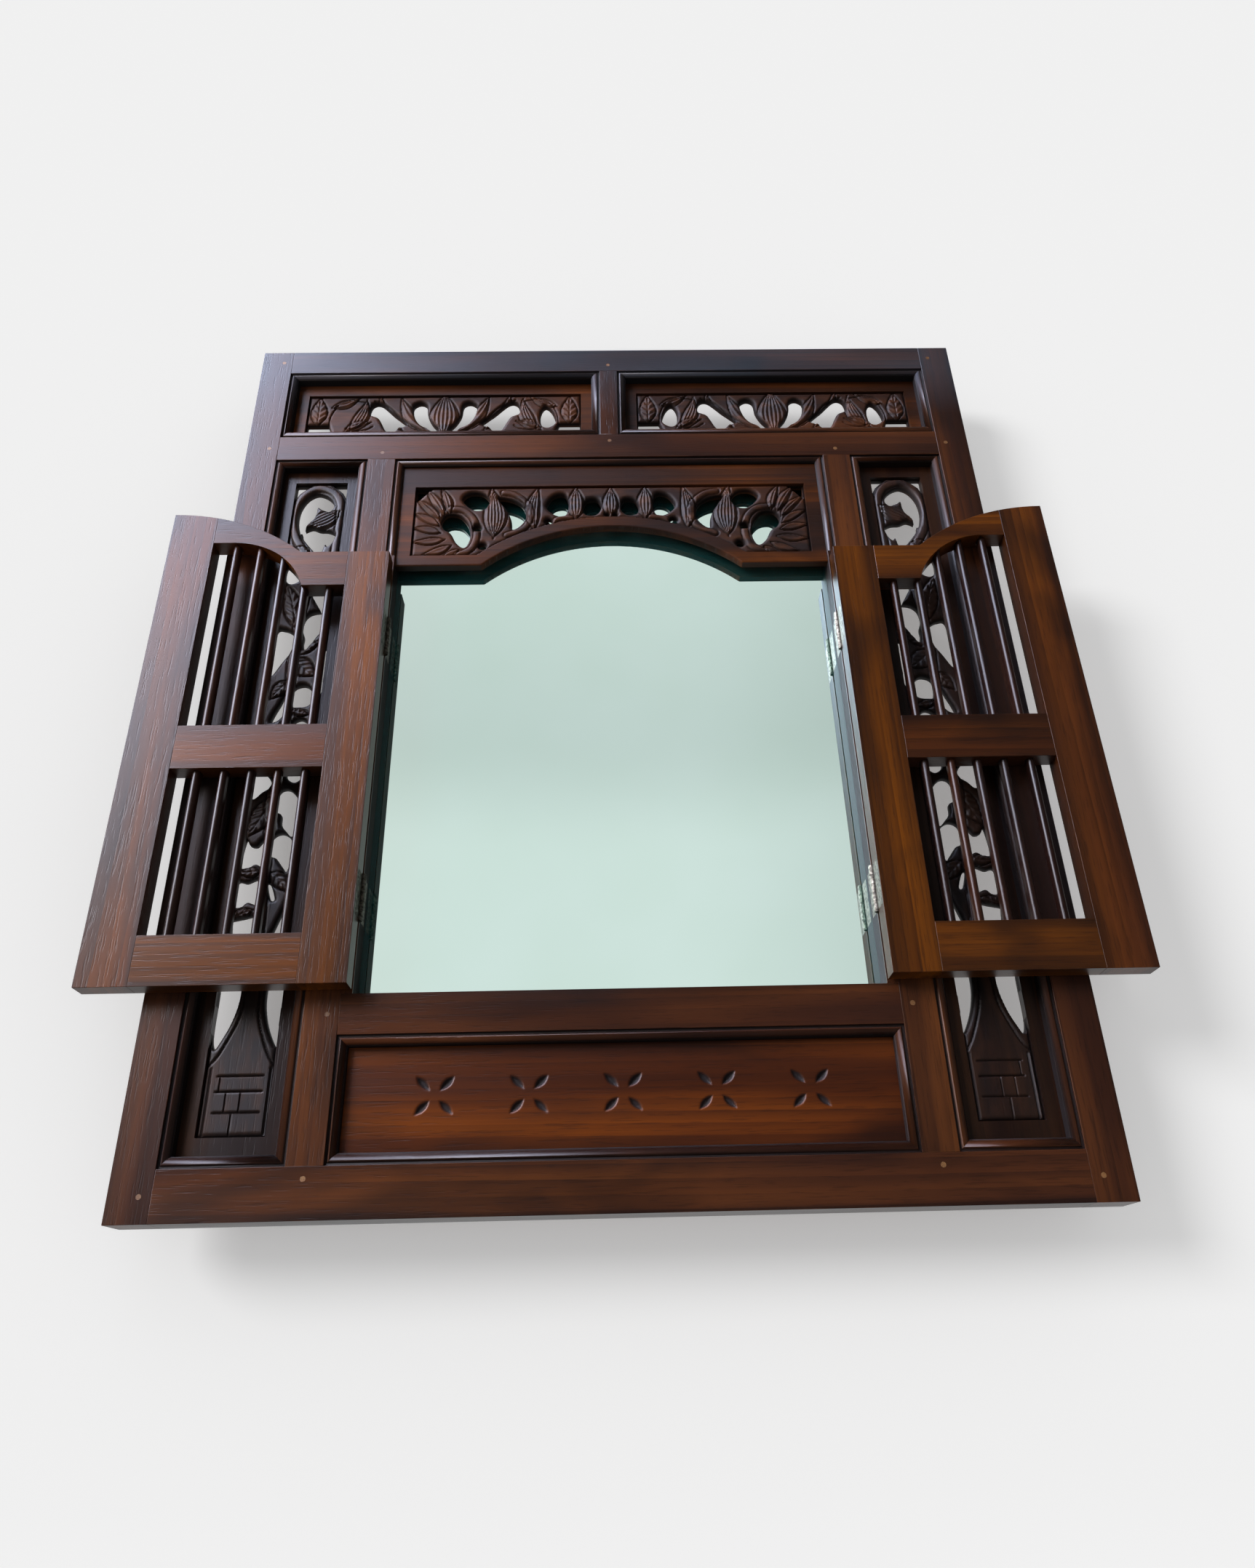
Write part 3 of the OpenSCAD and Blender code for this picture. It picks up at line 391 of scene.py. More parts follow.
# Its darker colours are painted shade in the side frets' recess
shadedSideMaterial = varnishedWood("carved_hardwood_painted_shade", shadedSideWood)
barMaterial = varnishedWood("bar_hardwood_dark_stain", barWood)


def setAttribute(mesh, name, values, domain="POINT"):
    isVector = values.ndim == 2
    kind = "FLOAT_VECTOR" if isVector else "FLOAT"
    attribute = mesh.attributes.new(name, kind, domain)
    attribute.data.foreach_set("vector" if isVector else "value", values.astype(np.float32).ravel())


boardShift = np.array([0.37, 0.11, 0.53])    # metres of pattern from one board to the next


def setGrain(mesh, points, along, board, tone=0.0):
    # Places in the board's own grain: across, through and along it, moved on for each board; and
    # its two edges across the grain, with its own tone
    order = {"x": (2, 1, 0), "z": (0, 1, 2)}[along]
    grain = points[:, order] + boardShift * board
    edges = np.zeros_like(grain)
    edges[:, 0], edges[:, 1], edges[:, 2] = grain[:, 0].min(), grain[:, 0].max(), tone
    setAttribute(mesh, "grainPlace", grain)
    setAttribute(mesh, "boardEdges", edges)


def finishPiece(mesh, name, material, body, nodes, sharpFrom=38):
    mesh.shade_smooth()
    mesh.set_sharp_from_angle(angle=math.radians(sharpFrom))
    mesh.materials.append(material)
    piece = addObject(name, mesh)
    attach(piece, body)
    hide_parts(*nodes)
    return piece


# How red (1) or warm (-1) each board is; the others are nearly neutral
frameTones = {"inner_stile_left": -0.5, "inner_stile_right": -0.5}
shutterTones = {"meeting_stile": 0.9, "mid_rail": 0.5, "hinge_stile": -0.45, "bottom_rail": -0.45}

easing = {
    "frame": 0.35,           # mm, width of the softened arrises
    "shutter": 0.30,
    "leastEdge": 5.0,        # mm, shorter edges stay as they are
    "leastAngle": 40,        # degrees
    "merge": 0.002,          # mm, corners closer than this are one
    "flatAngle": 0.3,        # degrees, flatter edges are none
}


def easedBoard(node, body, material, along, board, width, tone):
    # The CAD board with its sharp outward edges cut back by "width" and rounded in two steps
    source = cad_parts[node].data
    form = bmesh.new()
    form.from_mesh(source)
    bmesh.ops.remove_doubles(form, verts=form.verts, dist=easing["merge"] * mm)
    bmesh.ops.dissolve_limit(form, angle_limit=math.radians(easing["flatAngle"]), verts=form.verts,
                             edges=form.edges)
    least = easing["leastEdge"] * mm
    limit = math.radians(easing["leastAngle"])
    edges = [e for e in form.edges if e.is_manifold and e.is_convex
             and e.calc_length() > least and e.calc_face_angle() > limit]
    made = {"faces": []}
    if width and edges:
        made = bmesh.ops.bevel(form, geom=edges, offset=width * mm, offset_type="OFFSET",
                               segments=2, profile=0.5, affect="EDGES", clamp_overlap=False)
    form.faces.index_update()
    eased = [f.index for f in made["faces"]]
    mesh = bpy.data.meshes.new(node + "_board")
    form.to_mesh(mesh)
    form.free()
    points = np.empty(len(mesh.vertices) * 3)
    mesh.vertices.foreach_get("co", points)
    points = points.reshape(-1, 3)
    worn = np.zeros(len(mesh.polygons))
    worn[eased] = 1
    setGrain(mesh, points, along, board, tone)
    setAttribute(mesh, "worn", worn, "FACE")
    piece = finishPiece(mesh, node + "_board", material, body, [node])
    weighted = piece.modifiers.new("flat faces", "WEIGHTED_NORMAL")
    weighted.keep_sharp = True


frameBoards = {
    "outer_stile_left": "z", "outer_stile_right": "z", "top_rail": "x", "second_rail": "x",
    "bottom_rail": "x", "centre_muntin": "z", "inner_stile_left": "z", "inner_stile_right": "z",
    "sill_rail": "x",
}
shutterBoards = {
    "hinge_stile": "z", "meeting_stile": "z", "arched_rail": "x", "mid_rail": "x",
    "bottom_rail": "x", "upper_bars": "z", "lower_bars": "z",
}

for number, (node, along) in enumerate(frameBoards.items()):
    easedBoard(node, "frame", frameMaterial, along, number + 1, easing["frame"],
               frameTones.get(node, 0.1))
print("frame boards ready")
for turn, side in enumerate(sides):
    for number, (part, along) in enumerate(shutterBoards.items()):
        isBars = "bars" in part
        easedBoard(side + "_" + part, side + "_shutter",
                   barMaterial if isBars else shutterMaterial, along, 20 + 10 * turn + number,
                   0 if isBars else easing["shutter"], shutterTones.get(part, 0.1))
print("shutter boards ready")


def smoothLoop(points, steps=8):
    # Closed Catmull-Rom curve: between b and c, with a and d as neighbours, the cubic
    # (2b + (c-a)t + (2a-5b+4c-d)t^2 + (3b-a-3c+d)t^3) / 2
    b = np.array(points, float)
    a, c, d = np.roll(b, 1, 0), np.roll(b, -1, 0), np.roll(b, -2, 0)
    t = (np.arange(steps) / steps)[:, None, None]
    curve = 0.5 * (2 * b + (c - a) * t + (2 * a - 5 * b + 4 * c - d) * t ** 2
                   + (3 * b - a - 3 * c + d) * t ** 3)
    return curve.transpose(1, 0, 2).reshape(-1, 2)


def smoothLine(points, steps=8):
    # The same curve through an open line: its end points are doubled, and the closing part goes
    p = np.array(points, float)
    if len(p) < 3:
        return p
    curve = smoothLoop(np.vstack([p[:1], p, p[-1:]]), steps)
    return np.vstack([curve[steps:len(p) * steps], p[-1:]])


def distanceToLine(x, z, line, reach=9.0):
    # Least distance from each place to the line's straight pieces, and no more than "reach"
    away = np.full(x.shape, reach)
    low, high = line.min(0) - reach, line.max(0) + reach
    near = (x > low[0]) & (x < high[0]) & (z > low[1]) & (z < high[1])
    p = np.stack([x[near], z[near]], 1)[:, None]
    a, step = line[:-1], np.diff(line, axis=0)
    t = np.clip(((p - a) * step).sum(2) / np.maximum((step ** 2).sum(1), 1e-9), 0, 1)
    gap = p - a - t[..., None] * step
    away[near] = np.minimum(reach, np.sqrt((gap ** 2).sum(2)).min(1))
    return away


def distanceToHole(x, z, loop):
    # Distance to the outline, below zero inside it: a place is inside when a line to its right
    # crosses the outline an odd number of times
    closed = np.vstack([loop, loop[:1]])
    away = distanceToLine(x, z, closed)
    low, high = loop.min(0), loop.max(0)
    near = (x > low[0]) & (x < high[0]) & (z > low[1]) & (z < high[1])
    px, pz = x[near][:, None], z[near][:, None]
    (ax, az), (bx, bz) = closed[:-1].T, closed[1:].T
    spans = (az > pz) != (bz > pz)
    crossing = ax + (pz - az) / np.where(bz == az, 1e-9, bz - az) * (bx - ax)
    inside = (spans & (crossing > px)).sum(1) % 2 == 1
    sign = np.ones(x.shape)
    sign[near] = np.where(inside, -1, 1)
    return away * sign


carving = {                  # mm
    "step": 0.85,            # between the lines of the grids
    "dome": 1.5, "ribCut": 0.95, "midribCut": 1.1, "veinCut": 0.8, "rimCut": 1.3,
    "lineWidth": 0.9,        # of a leaf's middle rib and rim
    "veinSlant": 1.1, "veinStart": 0.08,                     # shares of a leaf's half width
    "roundOver": 4.2,        # radius at the holes and the field's edge
    "roundDrop": 3.2,
    "calm": 1.6,             # from an edge to where the ornament has its full height
    "stemCut": 0.9, "stemCutWidth": 0.8, "stemCutAway": 0.3,
    "deepest": -6.0, "proudest": 0.6,
    # Stain that pools in the hollows, with painted shade there, both darker with depth
    "stainAndShadeDepths": (1.6, 3.4), "stainAndShadeShares": (0.3, 0.9),    # the stain that pools in the hollows
    # Painted shade on the panels' backs
    "backShadeShare": 0.1,        # and on the backs
    "wornHeights": (-2.1, -0.5),
    "snap": 0.1,             # an edge this close to a grid point runs through it
}


def leafRelief(x, z, leaf):
    # A leaf from base to tip: s runs 0 to 1 along it and t across it in mm, bent sideways. The
    # blade is a low dome, sqrt(1 - (t / edge)^2), with either ribs along it or a middle rib and
    # slanting veins, and a cut round its edge
    base, tip, half, bend, ribs, veins = leaf
    base, tip = np.array(base, float), np.array(tip, float)
    length = np.hypot(*(tip - base))
    ux, uz = (tip - base) / length
    s = ((x - base[0]) * ux + (z - base[1]) * uz) / length
    t = -(x - base[0]) * uz + (z - base[1]) * ux - bend * 4 * s * (1 - s)
    edge = half * np.sin(np.pi * np.clip(s, 0, 1) ** 0.8) + 1e-6
    share = np.clip(np.abs(t) / edge, 0, 1)
    inside = (s > 0) & (s < 1) & (share < 1)
    dome = carving["dome"] * np.sqrt(1 - share ** 2)
    line = carving["lineWidth"]
    if ribs:
        lines = 0.5 - 0.5 * np.cos(np.pi * (ribs * (t / edge) + (ribs % 2)))
        cut = carving["ribCut"] * lines * np.clip(edge / 4, 0, 1)
    else:
        middle = np.exp(-(t / line) ** 2)
        slant = 0.5 + 0.5 * np.cos(2 * np.pi * (veins * s - carving["veinSlant"] * share))
        slant *= share > carving["veinStart"]
        cut = np.maximum(carving["midribCut"] * middle, carving["veinCut"] * slant)
    rim = np.where((s > -0.05) & (s < 1.05), np.exp(-((np.abs(t) - edge) / line) ** 2), 0)
    return np.where(inside, dome - cut, 0) - carving["rimCut"] * rim


def cutSheet(xs, zs, wood):
    # Faces of a grid where wood >= 0. A cell that the edge crosses keeps its corners with wood >= 0
    # and the points on its sides where wood, taken as linear, is 0
    nx, nz = wood.shape
    corner = np.arange(nx * nz).reshape(nx, nz)
    along = corner + nx * nz           # points on the sides from (i, j) to (i + 1, j)
    up = corner + 2 * nx * nz          # points on the sides from (i, j) to (i, j + 1)
    gx, gz = np.meshgrid(xs, zs, indexing="ij")
    places = np.zeros((3, nx, nz, 2))
    places[0] = np.stack([gx, gz], 2)

    def crossings(a, b):
        share = a / np.where(a == b, 1, a - b)
        return ((a > 0) & (b < 0)) | ((a < 0) & (b > 0)), share

    crossX, shareX = crossings(wood[:-1], wood[1:])
    crossZ, shareZ = crossings(wood[:, :-1], wood[:, 1:])
    places[1, :-1] = places[0, :-1] + shareX[..., None] * np.diff(places[0], axis=0)
    places[2, :, :-1] = places[0, :, :-1] + shareZ[..., None] * np.diff(places[0], axis=1)
    keep = wood >= 0
    ring = np.stack([corner[:-1, :-1], along[:-1, :-1], corner[1:, :-1], up[1:, :-1],
                     corner[1:, 1:], along[:-1, 1:], corner[:-1, 1:], up[:-1, :-1]], 2)
    used = np.stack([keep[:-1, :-1], crossX[:, :-1], keep[1:, :-1], crossZ[1:],
                     keep[1:, 1:], crossX[:, 1:], keep[:-1, 1:], crossZ[:-1]], 2)
    ring, used = ring.reshape(-1, 8), used.reshape(-1, 8)
    whole = used.sum(1) >= 3
    ring, used = ring[whole], used[whole]
    names, corners = np.unique(ring[used], return_inverse=True)
    return places.reshape(-1, 2)[names], corners.ravel(), used.sum(1)


def carvedPanel(name, node, s, xs, zs, woodAt, heightAt, material, mirrored=False):
    # A board whose front stands at "front" minus heightAt(x, z), with a flat back, cut through
    # where woodAt(x, z) < 0. Each edge that only one front face has gets a side wall
    gx, gz = np.meshgrid(xs, zs, indexing="ij")
    wood = woodAt(gx.ravel(), gz.ravel()).reshape(gx.shape)
    wood[np.abs(wood) < carving["snap"]] = 0
    places, corners, counts = cutSheet(xs, zs, wood)
    height, stainAndShade, worn = heightAt(places[:, 0], places[:, 1])
    n = len(places)
    starts = np.cumsum(counts) - counts
    following = np.arange(len(corners)) + 1
    following[starts + counts - 1] = starts
    a, b = corners, corners[following]
    single = ~np.isin(a * n + b, b * n + a)
    a, b = a[single], b[single]
    walls = np.stack([b, a, a + n, b + n], 1)
    frontPoints = np.stack([places[:, 0], s["front"] - height, places[:, 1] - hangHeight], 1)
    backPoints = np.stack([places[:, 0], np.full(n, s["back"]), places[:, 1] - hangHeight], 1)
    points = np.vstack([frontPoints, backPoints]) * mm
    allCorners = np.concatenate([corners, (corners + n)[::-1], walls.ravel()])
    allCounts = np.concatenate([counts, counts[::-1], np.full(len(walls), 4)])
    if mirrored:
        points[:, 0] *= -1
        allCorners, allCounts = allCorners[::-1], allCounts[::-1]
    mesh = bpy.data.meshes.new(name)
    mesh.vertices.add(len(points))
    mesh.vertices.foreach_set("co", points.astype(np.float32).ravel())
    mesh.loops.add(len(allCorners))
    mesh.loops.foreach_set("vertex_index", allCorners.astype(np.int32))
    mesh.polygons.add(len(allCounts))
    mesh.polygons.foreach_set("loop_start", (np.cumsum(allCounts) - allCounts).astype(np.int32))
    mesh.update(calc_edges=True)
    mesh.validate()
    setGrain(mesh, points, s["along"], s["board"] + mirrored)
    # Stain and painted shade in the hollows, and painted shade on the back
    setAttribute(mesh, "stainAndShade", np.concatenate([stainAndShade, np.full(n, carving["backShadeShare"])]))
    setAttribute(mesh, "worn", np.concatenate([worn, np.zeros(n)]))
    finishPiece(mesh, name, material, "frame", [node], sharpFrom=42)
    print(name, "has", int((allCounts - 2).sum()), "triangles")


def gridLines(low, high, fieldLow, fieldHigh, step, coarse=9.0, border=0.4):
    # Close lines over the field, wide ones over the plain border
    fine = np.linspace(fieldLow, fieldHigh, int(round((fieldHigh - fieldLow) / step)) + 1)
    below = np.linspace(low, fieldLow - border, max(2, int((fieldLow - low) / coarse) + 1))
    above = np.linspace(fieldHigh + border, high, max(2, int((high - fieldHigh) / coarse) + 1))
    return np.concatenate([below, fine, above])


def reliefOf(x, z, gap, rim, ornament):
    # Height over the board's front, from the distances to the holes and to the field's edge.
    # Strands are rounded towards both as a quarter circle; leaves, stems and cuts are added
    edgeGap = np.clip(np.minimum(gap, rim), 0, None)
    near = np.clip(edgeGap / carving["roundOver"], 0, 1)
    height = -ornament["sink"] - carving["roundDrop"] * (1 - np.sqrt(1 - (1 - near) ** 2))
    calm = np.clip(edgeGap / carving["calm"], 0, 1)
    for leaf in ornament["leaves"]:
        height += calm * leafRelief(x, z, leaf)
    for half, rise, points in ornament.get("stems", []):
        away = distanceToLine(x, z, smoothLine(points))
        groove = (away - half - carving["stemCutAway"]) / carving["stemCutWidth"]
        height += calm * (rise * np.sqrt(np.clip(1 - (away / half) ** 2, 0, 1))
                          - carving["stemCut"] * np.exp(-groove ** 2))
    for depth, width, points in ornament.get("cuts", []):
        away = distanceToLine(x, z, smoothLine(points))
        height -= depth * np.clip(1 - away / width, 0, 1)
    height = np.clip(height, carving["deepest"], carving["proudest"])
    # Stain and painted shade in the hollows, darker with the depth
    stainAndShade = np.interp(-height, carving["stainAndShadeDepths"], carving["stainAndShadeShares"])
    worn = np.interp(height, carving["wornHeights"], (0, 1))
    return np.where(rim > -1e-6, (height, stainAndShade, worn), 0.0)


def outlines(panel):
    straight = [np.array(hole, float) for hole in panel["straightHoles"]]
    return straight + [smoothLoop(hole) for hole in panel["holes"]]


sidePanel = {
    "along": "z", "board": 41, "paired": False,
    "centre": -296.0, "half": 43.5, "low": 41.5, "high": 737.5,
    "front": -20.0, "back": -12.0, "sink": 1.2,
    "fieldHalf": 26.0, "fieldLow": 62.0, "fieldHigh": 718.0,
    "straightHoles": [
        [(-26, 717), (-10, 717), (-17, 712), (-23, 706), (-26, 698)],
        [(10, 717), (26, 717), (26, 699), (22, 707), (17, 712)],
        [(-25, 238), (-15, 240), (-4, 243), (-4, 218), (-23, 218)],
        [(21, 260), (17, 248), (12, 233), (7, 218), (21, 218)],
    ],
    "holes": [
        [(-16, 654), (-20, 670), (-19, 687), (-13, 700), (-4, 706), (5, 703), (12, 696), (14, 688),
         (10, 683), (3, 685), (-2, 688), (-3, 679), (-6, 671), (-11, 664), (-12, 657)],
        [(-13, 656), (-5, 661), (3, 658), (12, 657), (19, 652), (17, 643), (13, 637), (10, 640),
         (8, 632), (6, 624), (-1, 632), (-8, 641), (-13, 649)],
        [(-23, 612), (-13, 614), (-8, 604), (-10, 594), (-18, 590), (-24, 597)],
        [(8, 614), (16, 610), (19, 600), (13, 592), (6, 597)],
        [(4, 578), (10, 584), (18, 582), (19, 567), (17, 554), (13, 560), (8, 569)],
        [(-1, 537), (1, 549), (8, 555), (18, 554), (19, 537), (13, 525), (5, 511), (2, 518),
         (2, 527)],
        [(-25, 531), (-17, 535), (-8, 529), (-7, 517), (-10, 506), (-16, 495), (-23, 482),
         (-26, 488)],
        [(22, 509), (26, 506), (26, 470), (23, 464)],
        [(-7, 462), (-11, 451), (-16, 438), (-17, 431), (-10, 434), (-6, 445)],
        [(-1, 466), (7, 471), (14, 468), (18, 458), (15, 449), (7, 447), (0, 449)],
        [(-22, 420), (-13, 417), (-8, 404), (-13, 390), (-22, 388), (-25, 404)],
        [(2, 428), (10, 434), (18, 426), (17, 410), (9, 400), (3, 410)],
        [(5, 386), (15, 387), (19, 376), (12, 368), (4, 374)],
        [(-25, 378), (-16, 378), (-9, 369), (-10, 363), (-16, 358), (-22, 352), (-26, 357)],
        [(-2, 352), (1, 360), (8, 361), (15, 354), (19, 343), (19, 328), (16, 315), (10, 320),
         (5, 327), (4, 336), (-1, 340)],
        [(-1, 313), (6, 318), (14, 314), (18, 304), (17, 294), (15, 282), (11, 286), (5, 294),
         (-1, 298)],
        [(-23, 312), (-19, 307), (-13, 306), (-8, 312), (-4, 309), (-5, 288), (-12, 289),
         (-18, 286), (-25, 288)],
        [(-25, 272), (-17, 272), (-10, 275), (-4, 274), (-5, 253), (-14, 254), (-19, 250),
         (-25, 252)],
        [(0, 271), (4, 268), (8, 256), (4, 257)],
        [(-25, 204), (-10, 206), (-9, 190), (-9, 168), (-13, 150), (-19, 136), (-23, 130),
         (-26, 140), (-26, 170)],
        [(12, 206), (25, 204), (26, 170), (26, 140), (25, 131), (20, 139), (15, 152), (12, 168),
         (12, 190)],
    ],
    # base, tip, half width, sideways bend, ribs along it, slanting veins
    "leaves": [
        ((21, 680), (-13, 660), 11, 2, 6, 0), ((-7, 536), (-21, 589), 9, -2, 0, 6),
        ((-3, 500), (19, 480), 10, -2, 0, 5), ((-6, 352), (-22, 314), 10, 2, 0, 6),
        ((3, 280), (19, 262), 7, 1, 0, 4), ((-7, 383), (-25, 384), 4, 0, 0, 4),
        ((-6, 281), (-25, 280), 5, 0, 0, 4), ((-5, 475), (-20, 455), 7, 0, 0, 5),
        ((-3, 622), (-20, 634), 8, 0, 0, 4), ((1, 394), (18, 396), 5, 0, 0, 4),
        ((0, 442), (18, 438), 4.5, 0, 0, 4), ((3, 505), (20, 520), 5, 2, 0, 4),
        ((-24, 240), (-8, 246), 5, 0, 0, 4),
    ],
    "stems": [
        (4.2, 1.2, [(0, 222), (-1, 245), (-2, 280), (-2.5, 312), (-6, 345), (-5.5, 375), (-3, 398),
                    (-3, 430), (-3.5, 470), (-5, 505), (-4, 540), (-1, 575), (-2, 605), (-9, 628),
                    (-20, 650), (-23, 676), (-19, 699), (-5, 712), (12, 707), (21, 692), (23, 670),
                    (22, 640), (22, 605)]),
    ],
    # depth, half width, points
    "cuts": [
        (1.6, 1.2, [(-4, 212), (-4, 176), (-6, 155), (-12, 138), (-19, 123), (-25, 116)]),
        (1.6, 1.2, [(7, 212), (7, 176), (9, 155), (14, 139), (20, 125), (25, 117)]),
        (1.6, 1.0, [(-16, 108), (19, 108)]), (1.6, 1.0, [(-16, 96), (19, 96)]),
        (1.6, 1.0, [(-16, 80), (19, 80)]), (1.2, 0.8, [(-14, 107), (-14, 97)]),
        (1.2, 0.8, [(-8, 95), (-8, 81)]), (1.2, 0.8, [(3, 95), (3, 81)]),
        (1.2, 0.8, [(-2, 79), (-2, 64)]), (1.4, 1.2, [(-22, 114), (-22, 64)]),
        (1.4, 1.2, [(24, 114), (24, 64)]),
    ],
}


topPanel = {
    "along": "x", "board": 43, "paired": True,
    "centre": -176.25, "half": 163.25, "low": 776.5, "high": 864.5,
    "front": -20.0, "back": -12.0, "sink": 1.2,
    "fieldHalf": 146.0, "fieldLow": 789.0, "fieldHigh": 844.0,
    "straightHoles": [[(-145, 803), (-123, 803), (-119, 791), (-145, 791)]],
    "holes": [
        [(-34, 830), (-27, 836), (-20, 832), (-18, 818), (-13, 806), (-6, 796), (-8, 792),
         (-17, 797), (-26, 804), (-32, 815)],
        [(-80, 820), (-78, 833), (-69, 835), (-54, 819), (-40, 804), (-48, 799), (-56, 791),
         (-62, 796), (-67, 807), (-71, 814)],
        [(-119, 806), (-115, 822), (-108, 829), (-103, 818), (-104, 802), (-111, 798)],
    ],
    "leaves": [
        ((0, 786), (0, 848), 16, 0, 7, 0), ((-14, 790), (-47, 842), 9, 5, 3, 0),
        ((-44, 794), (-70, 846), 7, 6, 3, 0), ((-134, 803), (-134, 843), 9, 0, 0, 5),
        ((-120, 828), (-92, 842), 6, -2, 3, 0), ((-98, 795), (-84, 838), 8, -4, 5, 0),
        ((-104, 792), (-78, 806), 6, 2, 3, 0),
    ],
    "cuts": [
        (1.6, 1.2, [(-76, 838), (-60, 829), (-48, 815), (-36, 803), (-24, 793)]),
        (1.6, 1.2, [(-122, 800), (-121, 815), (-114, 831), (-101, 838), (-86, 836)]),
        (1.4, 1.2, [(-75, 800), (-82, 795), (-94, 794), (-104, 797)]),
    ],
}


def makeFret(kind, side, s, material):
    # The right panel is the left one's mirror image. A paired one is alike on both sides of its own
    # middle, but the outer half of the left one has no last hole
    holes = outlines(s)
    mirrored = side == "right"

    def fromMiddle(x):
        return -np.abs(x - s["centre"]) if s["paired"] else x - s["centre"]

    def gaps(x, z):
        each = [distanceToHole(fromMiddle(x), z, hole) for hole in holes]
        if s["paired"] and not mirrored:
            each[-1] = np.where(x > s["centre"], each[-1], np.inf)
        return np.min(each, axis=0)

    def heights(x, z):
        u = fromMiddle(x)
        rim = np.minimum(z - s["fieldLow"], s["fieldHigh"] - z)
        rim = np.minimum(s["fieldHalf"] - np.abs(u), rim)
        return reliefOf(u, z, gaps(x, z), rim, s)

    half, fieldHalf, step = s["half"], s["fieldHalf"], carving["step"]
    xs = s["centre"] + gridLines(-half, half, -fieldHalf, fieldHalf, step)
    zs = gridLines(s["low"], s["high"], s["fieldLow"], s["fieldHigh"], step)
    carvedPanel(kind + "_carving_" + side, kind + "_fret_" + side, s, xs, zs, gaps, heights,
                material, mirrored)


spandrel = {
    "along": "x", "board": 45, "half": 217.5, "low": 603.0, "high": 737.5,
    "front": -26.0, "back": -18.0, "sink": 1.2,
    "archRadius": 194.67, "archCentre": 456.33, "band": 13.0, "arrisWidth": 1.5, "arrisDrop": 0.8,
    "fieldHalf": 198.0, "fieldHigh": 705.0, "border": 0.4, "plainFrom": 712.0,
    "straightHoles": [[(-197, 704), (-182, 704), (-189, 697), (-196, 688)]],
    "holes": [
        [(-150, 690), (-143, 699), (-130, 698), (-123, 688), (-128, 678), (-139, 677)],
        [(-170, 662), (-164, 671), (-152, 669), (-143, 656), (-141, 640), (-146, 628), (-154, 634),
         (-160, 646), (-167, 652)],
        [(-114, 692), (-101, 690), (-89, 681), (-86, 666), (-92, 655), (-99, 651), (-100, 662),
         (-104, 674), (-110, 684)],
        [(-65, 680), (-58, 694), (-47, 696), (-43, 684), (-46, 669), (-56, 669)],
        [(-28, 678), (-24, 688), (-14, 689), (-10, 679), (-15, 669), (-25, 669)],
    ],
    "roundHoles": [(-63, 660, 4), (-134, 652, 4), (-128, 629, 4), (-4, 668, 2.5)],
    "leaves": [
        ((-162, 672), (-172, 705), 5, -2, 3, 0), ((-168, 670), (-188, 704), 5.5, -2, 3, 0),
        ((-172, 664), (-197, 690), 5, -2, 3, 0), ((-172, 655), (-198, 671), 4.5, -1.5, 1, 0),
        ((-170, 646), (-198, 652), 4.5, -1, 1, 0), ((-166, 637), (-197, 634), 4.5, 1, 1, 0),
        ((-159, 629), (-186, 618), 4.5, 1.5, 1, 0), ((-151, 624), (-168, 615), 3.5, 1, 1, 0),
        ((-117, 640), (-121, 705), 12, -3, 7, 0), ((-77, 650), (-73, 705), 8, 4, 5, 0),
        ((-35, 663), (-35, 705), 9, 0, 5, 0), ((0, 664), (0, 705), 8, 0, 5, 0),
    ],
    "stems": [
        (3.4, 1.2, [(-152, 617), (-139, 625), (-134, 642), (-137, 662), (-147, 674), (-160, 677)]),
        (3.2, 1.2, [(-104, 642), (-88, 650), (-81, 664), (-83, 681), (-95, 694), (-108, 698)]),
        (2.8, 1.0, [(-66, 652), (-52, 663), (-40, 664)]),
    ],
}


def makeSpandrel():
    s = spandrel
    holes = outlines(s)

    def overArch(x, z):
        # How far over the arch, or over the level parts beside it
        return np.minimum(np.hypot(x, z - s["archCentre"]) - s["archRadius"], z - s["low"])

    def gaps(x, z):
        u = -np.abs(x)
        found = [distanceToHole(u, z, h) for h in holes]
        found += [np.hypot(u - cx, z - cz) - r for cx, cz, r in s["roundHoles"]]
        return np.min(found, axis=0)

    def wood(x, z):
        return np.minimum(gaps(x, z), overArch(x, z))

    def heights(x, z):
        u = -np.abs(x)
        rim = np.minimum(s["fieldHalf"] + u, s["fieldHigh"] - z)
        rim = np.minimum(rim, overArch(x, z) - s["band"])
        height, stainAndShade, worn = reliefOf(u, z, gaps(x, z), rim, s)
        arris = np.clip(overArch(x, z) / s["arrisWidth"], 0, 1)
        return height - s["arrisDrop"] * (1 - np.sqrt(1 - (1 - arris) ** 2)), stainAndShade, worn

    xs = gridLines(-s["half"], s["half"], -s["fieldHalf"], s["fieldHalf"], carving["step"])
    zs = np.concatenate([np.arange(s["low"], s["fieldHigh"], carving["step"]),
                         [s["fieldHigh"], s["fieldHigh"] + s["border"]],
                         np.linspace(s["plainFrom"], s["high"], 4)])
    carvedPanel("spandrel_carving", "spandrel_panel", s, xs, zs, wood, heights, topMaterial)


bottomPanel = {
    "along": "x", "board": 46, "half": 217.5, "low": 41.5, "high": 132.5,
    "front": -23.0, "back": -15.0, "step": 0.9,
    "motifs": 5, "pitch": 72.0, "middle": 89.0,
    "petalLength": 16.0, "petalWidth": 6.5, "petalDepth": 2.0, "petalStart": 5.0,
    # The most painted shade in the chip-carved cuts
    "veeSteepness": 1.4, "cutShadeShare": 0.95,
}


